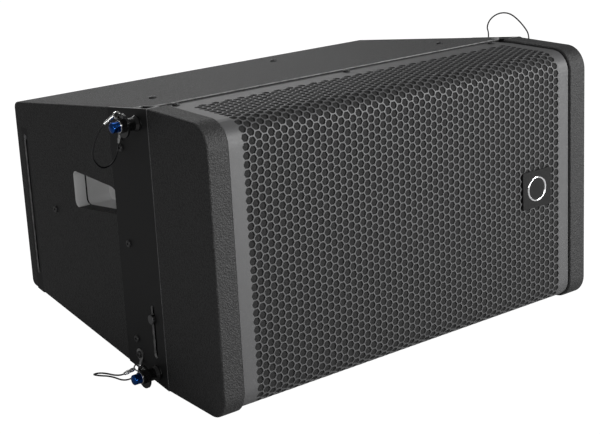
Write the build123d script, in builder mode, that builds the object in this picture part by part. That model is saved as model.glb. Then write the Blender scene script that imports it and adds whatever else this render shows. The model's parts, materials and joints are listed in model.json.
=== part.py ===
from build123d import *
import math
import os

# One module of a line array loudspeaker, in millimetres.
# +X is the listener's right, +Y the back, +Z up. The origin is under the middle of the cabinet,
# on the plane it stands on. "Depth" is the distance behind the front face of the cheeks.

# ---------------------------------------------------------------- overall sizes
WIDTH = 588
HEIGHT = 345
DEPTH = 477
NOSE_DEPTH = 122          # the front box keeps its full height to here
WEDGE_ANGLE = 7.12        # then top and bottom close in towards the back
PANEL = 18                # plywood
BACKING = 15              # thinner board behind the rigging channel

# ---------------------------------------------------------------- cheeks and grille
CHEEK_WIDTH = 28.5
NOSE_RADIUS = 29
EDGE_ROUND = 2.5
GRILLE_INSET = 3          # the grille lies this much below the cheeks
GRILLE_SHEET = 1.5
GRILLE_SIDE_GAP = 1.2
GRILLE_SEAM_DEPTH = 141   # where the grille ends on the top and the bottom
SEAM_GAP = 0.8
GRILLE_CLEARANCE = 0.5    # under the sheet, on the top and the bottom
FOAM = 8
FOAM_DEPTH = 52           # how far the foam wraps back over the top and the bottom
BADGE = 50
BADGE_THICKNESS = 2
BADGE_X = 204
BADGE_Z = 171

# ---------------------------------------------------------------- inside the cabinet
BAFFLE_DEPTH = 60
REAR_INSET = 8            # rear panel behind the ends of the side walls
REAR_ROUND = 9
BRACE_X = 67
BRACE = 15
BRACE_RIM = 34

# ---------------------------------------------------------------- side rigging
CHANNEL = PANEL           # housing thickness, flush with the outside
CHANNEL_PLATE = 2.5
LINK_WIDTH = 26
LINK_THICKNESS = 8
LINK_CLEARANCE = 2        # each side of the link, inside its channel
LINK_TRAVEL = 45
LINK_DEPTH = 142          # middle of the link and of the locking pins
STRIP_BACK = 214          # back edge of the rigging plate
FIT = 0.3                 # between pieces that are put together
KNOB_Z = 85.6
KNOB_DEPTH = 146
KNOB_HEAD = 12
KNOB_HEAD_LENGTH = 4
KNOB_STUD = 7
KNOB_SLOT = 8
KNOB_SLOT_ABOVE = 17
BACKING_BACK = 198

REAR_LINK_DEPTH = DEPTH - 25
REAR_LINK_WIDTH = 12
REAR_LINK_THICKNESS = 7
REAR_LINK_LENGTH = 196
REAR_LINK_TOP = HEIGHT - 79
REAR_GUIDE_WALL = 2
REAR_GUIDE_CLEARANCE = 1
REAR_SLOT = 8
REAR_SLOT_BOTTOM = 65.5
REAR_SLOT_TOP = REAR_LINK_TOP - 5
REAR_STUD = 7
SPLAY_HOLE = 6
SPLAY_HOLES = 5
SPLAY_PITCH = 12

# ---------------------------------------------------------------- locking pins
PIN_BOTTOM_Z = 19.1
PIN_TOP_Z = HEIGHT - PIN_BOTTOM_Z
PIN_SHANK = 8
PIN_FIT = 0.05            # radial running clearance
PIN_COLLAR = 13
PIN_COLLAR_LENGTH = 3
GRIP_END = 26             # outer end of the grip, from the rigging plate
GRIP_NECK = 15
GRIP_BASE = 19
GRIP_HEAD = 28
GRIP_LIP = 16
FLANGE_START = 19
FLANGE = 2.6
EYE_HOLE = 4.6
EYE_HOLE_RADIUS = 10.6
EYE_RADIUS = 4.5
EYE_WIRE = 1.8
EYE_OUT = 2               # middle of the eye, out from the flange
BUTTON = 12.5
BUTTON_OUT = 11
BUTTON_DOME = 2
BUTTON_IN = 5
BUTTON_TRAVEL = 2.5
BUTTON_ROOM = 0.5
GRIP_BEVEL = 0.7

# ---------------------------------------------------------------- screws
SCREW_HEAD = 9
SCREW_HEAD_HEIGHT = 2.6
SCREW_SHANK = 5
SCREW_LENGTH = 14
SCREW_SOCKET = 4
SCREW_ROUND = 1.56
SOCKET_IN_SCREW = 1.82
SCREW_FIT = 0.1
STRIP_SCREW_DEPTH = 189
STRIP_SCREW_SHARES = (0.14, 0.493, 0.836)     # of the height
GRILLE_SCREW_DEPTH = 131
GRILLE_SCREW_INSET = 15.5
TOP_SCREW_INSET = 44
TOP_SCREW_DEPTH = 215
BRACE_SCREW_FROM_BACK = 82
ANCHOR_DEPTH = 184
ANCHOR_Z = 10.2           # from the pin, towards the middle

# ---------------------------------------------------------------- handle
WINDOW_FRONT = 200
WINDOW_BACK = 322
WINDOW_LOW = 15           # these three are above the middle
WINDOW_LOW_FRONT = 30
WINDOW_HIGH = 63.5
WINDOW_CORNER = 8
WINDOW_BEND = 26
CUP_DEPTH = 34
CUP_WALL = 3
CUP_FLANGE = 10

# ---------------------------------------------------------------- loudspeakers
WOOFER_X = -95
WOOFER_DIAMETER = 298
WOOFER_FLANGE = 5
WOOFER_OPENING = 274
WOOFER_SURROUND = 14
WOOFER_DEPTH = 98
WOOFER_SCREWS = 8
FIRST_SCREW = 22.5        # degrees from the woofer's own +X
RIM_SCREW = 6             # in from the rim
BASKET_WALL = 7
BASKET_SEAT = 78          # radius of the basket where the motor bolts on
BASKET_WINDOW = 70
CONE_DEPTH = 58
CONE_THICKNESS = 1.2
COIL_RADIUS = 38
COIL_LENGTH = 34
COIL_FORMER = 1
WINDING = 0.2
CAP_RISE = 12
MAGNET_DIAMETER = 176
MAGNET_DEPTH = 44
GAP = 1.2
HORN_X = 165
HORN_WIDTH = 150
HORN_HEIGHT = 280
HORN_RIM = 10
HORN_WALL = 4
HORN_LENGTH = 105
THROAT = 36
DRIVER_DIAMETER = 128
DRIVER_LENGTH = 58
DRIVER_NECK = 8
DRIVER_STEP = 22
DRIVER_BEVEL = 4
DRIVER_THROAT = 14

# ---------------------------------------------------------------- input plate
PLATE_WIDTH = 160
PLATE_HEIGHT = 80
PLATE = 2.5
PLATE_LAP = 14
SOCKET_SPACING = 62
SOCKET_BORE = 24
SOCKET_WALL = 3
SOCKET_DEPTH = 24
SOCKET_FLANGE = 34
SOCKET_LIP = 2
SOCKET_CORNER = 4
BOARD_WIDTH = 150
BOARD_HEIGHT = 100
BOARD_X = -170
BOARD = 2
BOARD_LAP = 12
STANDOFF = 8
COIL_SPOOL = 42
COILS = ((-45, 0), (5, 20))                   # from the middle of the board
CAPACITOR = 18
CAPACITOR_HEIGHT = 30
CAPACITORS = ((5, -26), (28, -26))
RESISTOR = 10
RESISTOR_LENGTH = 34
RESISTORS = ((52, 24), (52, 8))

MIDDLE = HEIGHT / 2
FRONT = -DEPTH / 2
SLOPE = math.tan(math.radians(WEDGE_ANGLE))
SIDE_INNER = WIDTH / 2 - PANEL
CHEEK_INNER = WIDTH / 2 - CHEEK_WIDTH
REAR_FACE = DEPTH - REAR_INSET
GRILLE_SCREWS = (GRILLE_SCREW_INSET - CHEEK_INNER, 0, CHEEK_INNER - GRILLE_SCREW_INSET)
TOP_SCREWS = (
    (TOP_SCREW_INSET - SIDE_INNER, TOP_SCREW_DEPTH),
    (SIDE_INNER - TOP_SCREW_INSET, TOP_SCREW_DEPTH),
    (BRACE_X, REAR_FACE - BRACE_SCREW_FROM_BACK),
)

side_plane = Plane(origin=(0, FRONT, 0), x_dir=(0, 1, 0), z_dir=(1, 0, 0))
os.makedirs("parts", exist_ok=True)


def face_plane(depth):
    """A plane that looks out of the front, so that a positive extrusion comes forward."""
    return Plane(origin=(0, FRONT + depth, 0), x_dir=(1, 0, 0), z_dir=(0, -1, 0))


def top_at(depth, inset=0):
    return HEIGHT - inset - max(0, depth - NOSE_DEPTH) * SLOPE


def slice_points(near, far, inset=0):
    """The cabinet's side outline between two depths, with its top and bottom set in."""
    depths = [near] + [NOSE_DEPTH] * (near < NOSE_DEPTH < far) + [far]
    upper = [(depth, top_at(depth, inset)) for depth in depths]
    return upper + [(depth, HEIGHT - height) for depth, height in reversed(upper)]


def nose_outline(inset, far):
    """The nose's side outline, set in on the front, the top and the bottom, as a sketch."""
    with BuildSketch() as nose:
        with BuildLine():
            Polyline(*slice_points(inset, far, inset), close=True)
        make_face()
        fillet(nose.vertices().group_by(Axis.X)[0], NOSE_RADIUS - inset)
    return nose.sketch


def at(x, depth, height):
    return (x, FRONT + depth, height)


def wedge_plane(x, depth, inset=0):
    """A plane on the top's slope, that looks outwards."""
    return Plane(origin=at(x, depth, top_at(depth, inset)), x_dir=(1, 0, 0), z_dir=(0, SLOPE, 1))


# ================================================================ cabinet
with BuildPart() as top_panel:
    seat = GRILLE_INSET + GRILLE_SHEET + GRILLE_CLEARANCE
    with BuildSketch(side_plane.offset(-SIDE_INNER)):
        with BuildLine():
            Polyline(
                (BAFFLE_DEPTH, top_at(BAFFLE_DEPTH, seat)),
                (NOSE_DEPTH, top_at(NOSE_DEPTH, seat)),
                (GRILLE_SEAM_DEPTH, top_at(GRILLE_SEAM_DEPTH, seat)),
                (GRILLE_SEAM_DEPTH, top_at(GRILLE_SEAM_DEPTH)),
                (REAR_FACE, top_at(REAR_FACE)),
                (REAR_FACE, top_at(REAR_FACE, PANEL)),
                (NOSE_DEPTH, top_at(NOSE_DEPTH, PANEL)),
                (BAFFLE_DEPTH, top_at(BAFFLE_DEPTH, PANEL)),
                close=True,
            )
        make_face()
    extrude(amount=2 * SIDE_INNER)
    # room for the cheeks beside the tongue that carries the grille
    for sign in (-1, 1):
        with Locations(at(sign * (CHEEK_INNER + CHEEK_WIDTH / 2), 0, HEIGHT)):
            Box(CHEEK_WIDTH, 2 * NOSE_DEPTH, 4 * PANEL, mode=Mode.SUBTRACT)
    holes = [wedge_plane(x, depth) for x, depth in TOP_SCREWS]
    holes += [wedge_plane(x, GRILLE_SCREW_DEPTH, GRILLE_INSET) for x in GRILLE_SCREWS]
    for plane in holes:
        with BuildSketch(plane):
            Circle(SCREW_SHANK / 2 + SCREW_FIT)
        extrude(amount=-SCREW_LENGTH - 1, mode=Mode.SUBTRACT)
top_panel.part.label = "top_panel"
export_step(top_panel.part, "parts/top_panel.step")

with BuildPart() as bottom_panel:
    add(top_panel.part)
    mirror(about=Plane.XY.offset(MIDDLE), mode=Mode.REPLACE)
bottom_panel.part.label = "bottom_panel"
export_step(bottom_panel.part, "parts/bottom_panel.step")

with BuildPart() as rear_panel:
    with BuildSketch(side_plane.offset(-SIDE_INNER)):
        with BuildLine():
            Polyline(*slice_points(REAR_FACE - PANEL, REAR_FACE, PANEL), close=True)
        make_face()
    extrude(amount=2 * SIDE_INNER)
    with BuildSketch(face_plane(REAR_FACE)):
        with Locations((0, MIDDLE)):
            Rectangle(PLATE_WIDTH + 2 * FIT, PLATE_HEIGHT + 2 * FIT)
    extrude(amount=PLATE, mode=Mode.SUBTRACT)
    with BuildSketch(face_plane(REAR_FACE)):
        with Locations((0, MIDDLE)):
            Rectangle(PLATE_WIDTH - 2 * PLATE_LAP, PLATE_HEIGHT - 2 * PLATE_LAP)
    extrude(amount=PANEL, mode=Mode.SUBTRACT)
    with BuildSketch(face_plane(REAR_FACE)):
        with Locations((0, MIDDLE)):
            with GridLocations(PLATE_WIDTH - PLATE_LAP, PLATE_HEIGHT - PLATE_LAP, 2, 2):
                Circle(SCREW_SHANK / 2 + SCREW_FIT)
    extrude(amount=PANEL, mode=Mode.SUBTRACT)
rear_panel.part.label = "rear_panel"
export_step(rear_panel.part, "parts/rear_panel.step")

with BuildPart() as front_baffle:
    with BuildSketch(face_plane(BAFFLE_DEPTH + PANEL)):
        with Locations((0, MIDDLE)):
            Rectangle(2 * CHEEK_INNER, HEIGHT - 2 * PANEL)
        with Locations((WOOFER_X, MIDDLE)):
            Circle(WOOFER_OPENING / 2, mode=Mode.SUBTRACT)
            with PolarLocations(WOOFER_DIAMETER / 2 - RIM_SCREW, WOOFER_SCREWS, FIRST_SCREW):
                Circle(SCREW_SHANK / 2 + SCREW_FIT, mode=Mode.SUBTRACT)
        with Locations((HORN_X, MIDDLE)):
            Rectangle(HORN_WIDTH + 2, HORN_HEIGHT - 2 * HORN_RIM + 2, mode=Mode.SUBTRACT)
    extrude(amount=PANEL)
front_baffle.part.label = "front_baffle"
export_step(front_baffle.part, "parts/front_baffle.step")

with BuildPart() as centre_brace:
    with BuildSketch(side_plane.offset(BRACE_X - BRACE / 2)):
        with BuildLine():
            Polyline(
                *slice_points(BAFFLE_DEPTH + PANEL, REAR_FACE - PANEL, PANEL), close=True
            )
        make_face()
        offset(amount=-BRACE_RIM, kind=Kind.INTERSECTION, mode=Mode.SUBTRACT)
    extrude(amount=BRACE)
centre_brace.part.label = "centre_brace"
export_step(centre_brace.part, "parts/centre_brace.step")


# ================================================================ grille, foam and badge
grille_half = CHEEK_INNER - GRILLE_SIDE_GAP
with BuildPart() as grille:
    with BuildSketch(side_plane.offset(-grille_half)):
        add(nose_outline(GRILLE_INSET, GRILLE_SEAM_DEPTH - SEAM_GAP))
        add(
            nose_outline(GRILLE_INSET + GRILLE_SHEET, GRILLE_SEAM_DEPTH), mode=Mode.SUBTRACT
        )
    extrude(amount=2 * grille_half)
    for x in GRILLE_SCREWS:
        hole = wedge_plane(x, GRILLE_SCREW_DEPTH, GRILLE_INSET)
        with BuildSketch(hole):
            Circle(SCREW_SHANK / 2 + SCREW_FIT)
        extrude(amount=SCREW_LENGTH, both=True, mode=Mode.SUBTRACT)
        with BuildSketch(Plane(origin=(hole.origin.X, hole.origin.Y, HEIGHT - hole.origin.Z),
                               x_dir=(1, 0, 0), z_dir=(0, SLOPE, -1))):
            Circle(SCREW_SHANK / 2 + SCREW_FIT)
        extrude(amount=SCREW_LENGTH, both=True, mode=Mode.SUBTRACT)
grille.part.label = "grille"
export_step(grille.part, "parts/grille.step")

with BuildPart() as grille_foam:
    skin = GRILLE_INSET + GRILLE_SHEET
    with BuildSketch(side_plane.offset(-grille_half)):
        add(nose_outline(skin, FOAM_DEPTH))
        add(nose_outline(skin + FOAM, FOAM_DEPTH + 1), mode=Mode.SUBTRACT)
    extrude(amount=2 * grille_half)
grille_foam.part.label = "grille_foam"
export_step(grille_foam.part, "parts/grille_foam.step")

with BuildPart() as badge:
    with BuildSketch(face_plane(GRILLE_INSET)):
        with Locations((BADGE_X, BADGE_Z)):
            RectangleRounded(BADGE, BADGE, 3)
    extrude(amount=BADGE_THICKNESS)
badge.part.label = "badge"
export_step(badge.part, "parts/badge.step")


# ================================================================ sides, left then right
def mirror_to(side):
    """Turns the sub-part being built into the right-hand one."""
    if side == "right":
        mirror(about=Plane.YZ, mode=Mode.REPLACE)


def channel_outline(near, far):
    with BuildSketch() as outline:
        with BuildLine():
            Polyline(*slice_points(near, far), close=True)
        make_face()
    return outline.sketch


left_face = side_plane.offset(-WIDTH / 2)
cavity_front = LINK_DEPTH - LINK_WIDTH / 2 - LINK_CLEARANCE
cavity_back = LINK_DEPTH + LINK_WIDTH / 2 + LINK_CLEARANCE
channel_back = cavity_back + CHANNEL_PLATE
channel_front = NOSE_DEPTH + FIT
link_outer = WIDTH / 2 - CHANNEL / 2 + LINK_THICKNESS / 2
knob_slot_low = KNOB_Z - LINK_TRAVEL - KNOB_SLOT / 2 - 1
knob_slot_high = KNOB_Z + KNOB_SLOT_ABOVE
pin_heights = {"top": PIN_TOP_Z, "bottom": PIN_BOTTOM_Z}
anchor_heights = {"top": PIN_TOP_Z - ANCHOR_Z, "bottom": PIN_BOTTOM_Z + ANCHOR_Z}
strip_screws = [(STRIP_SCREW_DEPTH, share * HEIGHT) for share in STRIP_SCREW_SHARES]
anchor_screws = [(ANCHOR_DEPTH, z) for z in anchor_heights.values()]
wall_screws = [((WINDOW_BACK + REAR_LINK_DEPTH) / 2 - 8, MIDDLE)]
guide_half = REAR_LINK_WIDTH / 2 + REAR_GUIDE_CLEARANCE + REAR_GUIDE_WALL
guide_thick = REAR_LINK_THICKNESS + 2 * REAR_GUIDE_CLEARANCE + 2 * REAR_GUIDE_WALL
guide_top = REAR_LINK_TOP + REAR_GUIDE_CLEARANCE + REAR_GUIDE_WALL
rear_link_bottom = REAR_LINK_TOP - REAR_LINK_LENGTH

for side in ("left", "right"):
    with BuildPart() as cheek:
        with BuildSketch(left_face):
            add(nose_outline(0, NOSE_DEPTH))
        extrude(amount=CHEEK_WIDTH)
        outer = cheek.faces().sort_by(Axis.X)[0].edges()
        inner = cheek.faces().sort_by(Axis.X)[-1].edges()
        back = cheek.faces().sort_by(Axis.Y)[-1].edges()
        fillet([edge for edge in outer + inner if edge not in back], EDGE_ROUND)
        mirror_to(side)
    cheek.part.label = f"{side}_cheek"
    export_step(cheek.part, f"parts/{side}_cheek.step")

    with BuildPart() as side_wall:
        with BuildSketch(left_face) as board:
            add(channel_outline(channel_back + FIT, DEPTH))
            fillet(board.vertices().group_by(Axis.X)[-1], REAR_ROUND)
        extrude(amount=PANEL)
        outer = side_wall.faces().sort_by(Axis.X)[0].edges()
        front = side_wall.faces().sort_by(Axis.Y)[0].edges()
        fillet([edge for edge in outer if edge not in front], EDGE_ROUND)
        # backing board behind the rigging channel
        with BuildSketch(side_plane.offset(-SIDE_INNER)):
            with BuildLine():
                Polyline(*slice_points(channel_front, BACKING_BACK, PANEL), close=True)
            make_face()
        extrude(amount=BACKING)
        # rebate for the rigging plate
        with BuildSketch(left_face):
            add(channel_outline(channel_back, STRIP_BACK + FIT))
        extrude(amount=CHANNEL_PLATE, mode=Mode.SUBTRACT)
        # handle window
        with BuildSketch(left_face) as window:
            with BuildLine():
                Polyline(
                    (WINDOW_FRONT, MIDDLE + WINDOW_LOW_FRONT),
                    (WINDOW_FRONT, MIDDLE + WINDOW_HIGH - 2),
                    (WINDOW_BACK, MIDDLE + WINDOW_HIGH),
                    (WINDOW_BACK, MIDDLE + WINDOW_LOW),
                    close=True,
                )
            make_face()
            corners = window.vertices().sort_by(Axis.X)
            fillet(corners[0:2].sort_by(Axis.Y)[-1], WINDOW_BEND)
            fillet(window.vertices().sort_by(Axis.X)[-2:], WINDOW_CORNER)
        extrude(amount=PANEL, mode=Mode.SUBTRACT)
        # trench for the rear link's guide
        with BuildSketch(left_face):
            with BuildLine():
                Polyline(
                    (REAR_LINK_DEPTH - guide_half, -1),
                    (REAR_LINK_DEPTH - guide_half, guide_top),
                    (REAR_LINK_DEPTH + guide_half, guide_top),
                    (REAR_LINK_DEPTH + guide_half, -1),
                    close=True,
                )
            make_face()
        extrude(amount=guide_thick, mode=Mode.SUBTRACT)
        with BuildSketch(left_face):
            with Locations(*strip_screws, *anchor_screws, *wall_screws):
                Circle(SCREW_SHANK / 2 + SCREW_FIT)
        extrude(amount=SCREW_LENGTH + 1, mode=Mode.SUBTRACT)
        mirror_to(side)
    side_wall.part.label = f"{side}_side_wall"
    export_step(side_wall.part, f"parts/{side}_side_wall.step")

    with BuildPart() as handle_cup:
        mouth = side_plane.offset(-SIDE_INNER)
        with BuildSketch(mouth):
            add(window.sketch_local)
            offset(amount=CUP_WALL)
        extrude(amount=CUP_DEPTH)
        with BuildSketch(mouth):
            add(window.sketch_local)
            offset(amount=CUP_WALL + CUP_FLANGE)
        extrude(amount=CUP_WALL)
        with BuildSketch(mouth):
            add(window.sketch_local)
        extrude(amount=CUP_DEPTH - CUP_WALL, mode=Mode.SUBTRACT)
        # the flange stops at the backing board
        with BuildSketch(mouth):
            with BuildLine():
                Polyline(*slice_points(NOSE_DEPTH, BACKING_BACK + FIT), close=True)
            make_face()
        extrude(amount=CUP_DEPTH, mode=Mode.SUBTRACT)
        mirror_to(side)
    handle_cup.part.label = f"{side}_handle_cup"
    export_step(handle_cup.part, f"parts/{side}_handle_cup.step")

    with BuildPart() as channel:
        with BuildSketch(left_face):
            add(channel_outline(channel_front, channel_back))
        extrude(amount=CHANNEL - FIT)
        with BuildSketch(side_plane.offset(-WIDTH / 2 + CHANNEL_PLATE)):
            with BuildLine():
                Polyline(
                    (cavity_front, -1),
                    (cavity_front, HEIGHT + 1),
                    (cavity_back, HEIGHT + 1),
                    (cavity_back, -1),
                    close=True,
                )
            make_face()
        extrude(amount=CHANNEL - FIT - 2 * CHANNEL_PLATE, mode=Mode.SUBTRACT)
        with BuildSketch(left_face):
            add(channel_outline(channel_front, STRIP_BACK))
        extrude(amount=CHANNEL_PLATE)
        with BuildSketch(left_face):
            for height in pin_heights.values():
                with Locations((LINK_DEPTH, height)):
                    Circle(PIN_SHANK / 2 + PIN_FIT)
        extrude(amount=CHANNEL, mode=Mode.SUBTRACT)
        with BuildSketch(left_face):
            with Locations((KNOB_DEPTH, (knob_slot_low + knob_slot_high) / 2)):
                SlotOverall(knob_slot_high - knob_slot_low, KNOB_SLOT, rotation=90)
            with Locations(*strip_screws, *anchor_screws):
                Circle(SCREW_SHANK / 2 + SCREW_FIT)
        extrude(amount=CHANNEL_PLATE, mode=Mode.SUBTRACT)
        mirror_to(side)
    channel.part.label = f"{side}_rigging_channel"
    export_step(channel.part, f"parts/{side}_rigging_channel.step")

    with BuildPart() as front_link:
        link_bottom = LINK_CLEARANCE + 2
        link_top = PIN_TOP_Z - LINK_WIDTH
        with BuildSketch(side_plane.offset(-link_outer)):
            with Locations((LINK_DEPTH, (link_bottom + link_top) / 2)):
                SlotOverall(link_top - link_bottom, LINK_WIDTH, rotation=90)
            # the pin's hole, carried on as a slot for the whole travel
            slot_low = PIN_BOTTOM_Z - PIN_SHANK / 2 - 1
            slot_high = PIN_BOTTOM_Z + LINK_TRAVEL + PIN_SHANK / 2 + 1
            with Locations((LINK_DEPTH, (slot_low + slot_high) / 2)):
                SlotOverall(slot_high - slot_low, PIN_SHANK + 1, rotation=90, mode=Mode.SUBTRACT)
        extrude(amount=LINK_THICKNESS)
        mirror_to(side)
    front_link.part.label = f"{side}_front_link"
    export_step(front_link.part, f"parts/{side}_front_link.step")

    with BuildPart() as link_knob:
        with BuildSketch(side_plane.offset(-link_outer)):
            with Locations((KNOB_DEPTH, KNOB_Z)):
                Circle(KNOB_STUD / 2)
        extrude(amount=link_outer - WIDTH / 2 - FIT)
        with BuildSketch(side_plane.offset(-WIDTH / 2 - FIT)):
            with Locations((KNOB_DEPTH, KNOB_Z)):
                Circle(KNOB_HEAD / 2)
        extrude(amount=-KNOB_HEAD_LENGTH)
        fillet(link_knob.faces().sort_by(Axis.X)[0].edges(), 1)
        mirror_to(side)
    link_knob.part.label = f"{side}_link_knob"
    export_step(link_knob.part, f"parts/{side}_link_knob.step")

    with BuildPart() as rear_link:
        bar_outer = WIDTH / 2 - REAR_GUIDE_WALL - REAR_GUIDE_CLEARANCE
        with BuildSketch(side_plane.offset(-bar_outer)):
            with Locations((REAR_LINK_DEPTH, (REAR_LINK_TOP + rear_link_bottom) / 2)):
                SlotOverall(REAR_LINK_LENGTH, REAR_LINK_WIDTH, rotation=90)
            for index in range(SPLAY_HOLES):
                hole_z = rear_link_bottom + REAR_LINK_WIDTH / 2 + index * SPLAY_PITCH
                with Locations((REAR_LINK_DEPTH, hole_z)):
                    Circle(SPLAY_HOLE / 2, mode=Mode.SUBTRACT)
        extrude(amount=REAR_LINK_THICKNESS)
        with BuildSketch(side_plane.offset(-bar_outer)):
            with Locations((REAR_LINK_DEPTH, REAR_SLOT_TOP - REAR_STUD / 2 - 1)):
                Circle(REAR_STUD / 2)
        extrude(amount=-(WIDTH / 2 - bar_outer))
        mirror_to(side)
    rear_link.part.label = f"{side}_rear_link"
    export_step(rear_link.part, f"parts/{side}_rear_link.step")

with BuildPart() as rear_link_guides:
    with BuildSketch(left_face):
        with BuildLine():
            Polyline(
                (REAR_LINK_DEPTH - guide_half, HEIGHT - top_at(REAR_LINK_DEPTH - guide_half)),
                (REAR_LINK_DEPTH - guide_half, guide_top),
                (REAR_LINK_DEPTH + guide_half, guide_top),
                (REAR_LINK_DEPTH + guide_half, HEIGHT - top_at(REAR_LINK_DEPTH + guide_half)),
                close=True,
            )
        make_face()
    extrude(amount=guide_thick)
    with BuildSketch(left_face.offset(REAR_GUIDE_WALL)):
        with BuildLine():
            Polyline(
                (REAR_LINK_DEPTH - guide_half + REAR_GUIDE_WALL, 0),
                (REAR_LINK_DEPTH - guide_half + REAR_GUIDE_WALL, guide_top - REAR_GUIDE_WALL),
                (REAR_LINK_DEPTH + guide_half - REAR_GUIDE_WALL, guide_top - REAR_GUIDE_WALL),
                (REAR_LINK_DEPTH + guide_half - REAR_GUIDE_WALL, 0),
                close=True,
            )
        make_face()
    extrude(amount=guide_thick - 2 * REAR_GUIDE_WALL, mode=Mode.SUBTRACT)
    with BuildSketch(left_face):
        with Locations((REAR_LINK_DEPTH, (REAR_SLOT_BOTTOM + REAR_SLOT_TOP) / 2)):
            SlotOverall(REAR_SLOT_TOP - REAR_SLOT_BOTTOM, REAR_SLOT, rotation=90)
    extrude(amount=REAR_GUIDE_WALL, mode=Mode.SUBTRACT)
    mirror(about=Plane.YZ)
rear_link_guides.part.label = "rear_link_guides"
export_step(rear_link_guides.part, "parts/rear_link_guides.step")


# ================================================================ locking pins and lanyards
def outward(out, depth, height):
    """A point beside the left rigging plate, by its distance out from the plate."""
    return Vector(-WIDTH / 2 - out, FRONT + depth, height)


flange_middle = FLANGE_START + FLANGE / 2
eye_middle = flange_middle + EYE_OUT
eye_arm = GRIP_HEAD / 2
button_inner = GRIP_END - BUTTON_IN
pin_reach = CHANNEL - 2 * FIT

# Each pin: where on its flange the eye sits, as depth and height shares, the way its ferrule
# points, as out, depth and height shares, and the way the ferrule on the rigging plate points.
PINS = {
    ("left", "top"): ((0.6, 0.8), (0.68, 0.42, -0.6), (0.2, 0.1, -0.97)),
    ("left", "bottom"): ((0.78, 0.62), (0.98, 0.04, -0.18), (0.6, -0.45, -0.66)),
    ("right", "top"): ((-0.97, -0.22), (0.25, 0.3, 0.92), (0.15, 0.05, 0.98)),
    ("right", "bottom"): ((0.7, 0.71), (0.94, 0.1, 0.3), (0.6, -0.4, -0.69)),
}
# The cable's route between the two ferrules: out from its plate, behind its pin, above its pin.
ROUTES = {
    ("left", "top"): [(12, 42, -50), (28, 37, -56), (43, 30, -47), (51, 25, -31)],
    ("left", "bottom"): [
        (30, 30, -13.5), (41, 42, -4), (60, 39, 4), (74, 29, 10), (67, 16, 11.5),
    ],
    ("right", "top"): [
        (2, 45, 26), (5, 41, 39), (13, 31, 48), (23, 18, 47.5), (31, 7, 36), (35.5, -2, 23),
    ],
    ("right", "bottom"): [
        (29, 32, -13), (42, 42, -6), (58, 41, 6), (70, 30, 14), (66, 17, 18),
    ],
}
WIRE = 2
FERRULE = 4
FERRULE_LENGTH = 14
LEAD = 7                  # straight cable at each ferrule
ANCHOR_RING = 15
ANCHOR_LAP = 0.8          # how far the ferrule reaches into its ring
ANCHOR_RING_THICKNESS = 1.6
ANCHOR_OUT = 1.2          # middle of the ferrule's start, out from the plate


def unit(x, y, z):
    return Vector(x, y, z).normalized()


def dome(tip, radius, rise):
    """An arc from a dome's tip, on the axis, to its edge, for a positive or negative rise."""
    ball = (radius**2 + rise**2) / (2 * rise)
    half_angle = math.asin(radius / ball) / 2
    return ThreePointArc(
        (tip, 0),
        (tip - ball * (1 - math.cos(half_angle)), abs(ball * math.sin(half_angle))),
        (tip - rise, radius),
    )


def plate_direction(out, depth, height):
    return unit(-out, depth, height)


def route_radii(points):
    """The largest bend at each corner that leaves its two runs room."""
    radii = []
    for before, corner, after in zip(points, points[1:], points[2:]):
        turn = math.radians((corner - before).get_angle(after - corner))
        run = min((corner - before).length, (after - corner).length)
        radii.append(0.45 * run / math.tan(turn / 2))
    return radii


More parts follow.
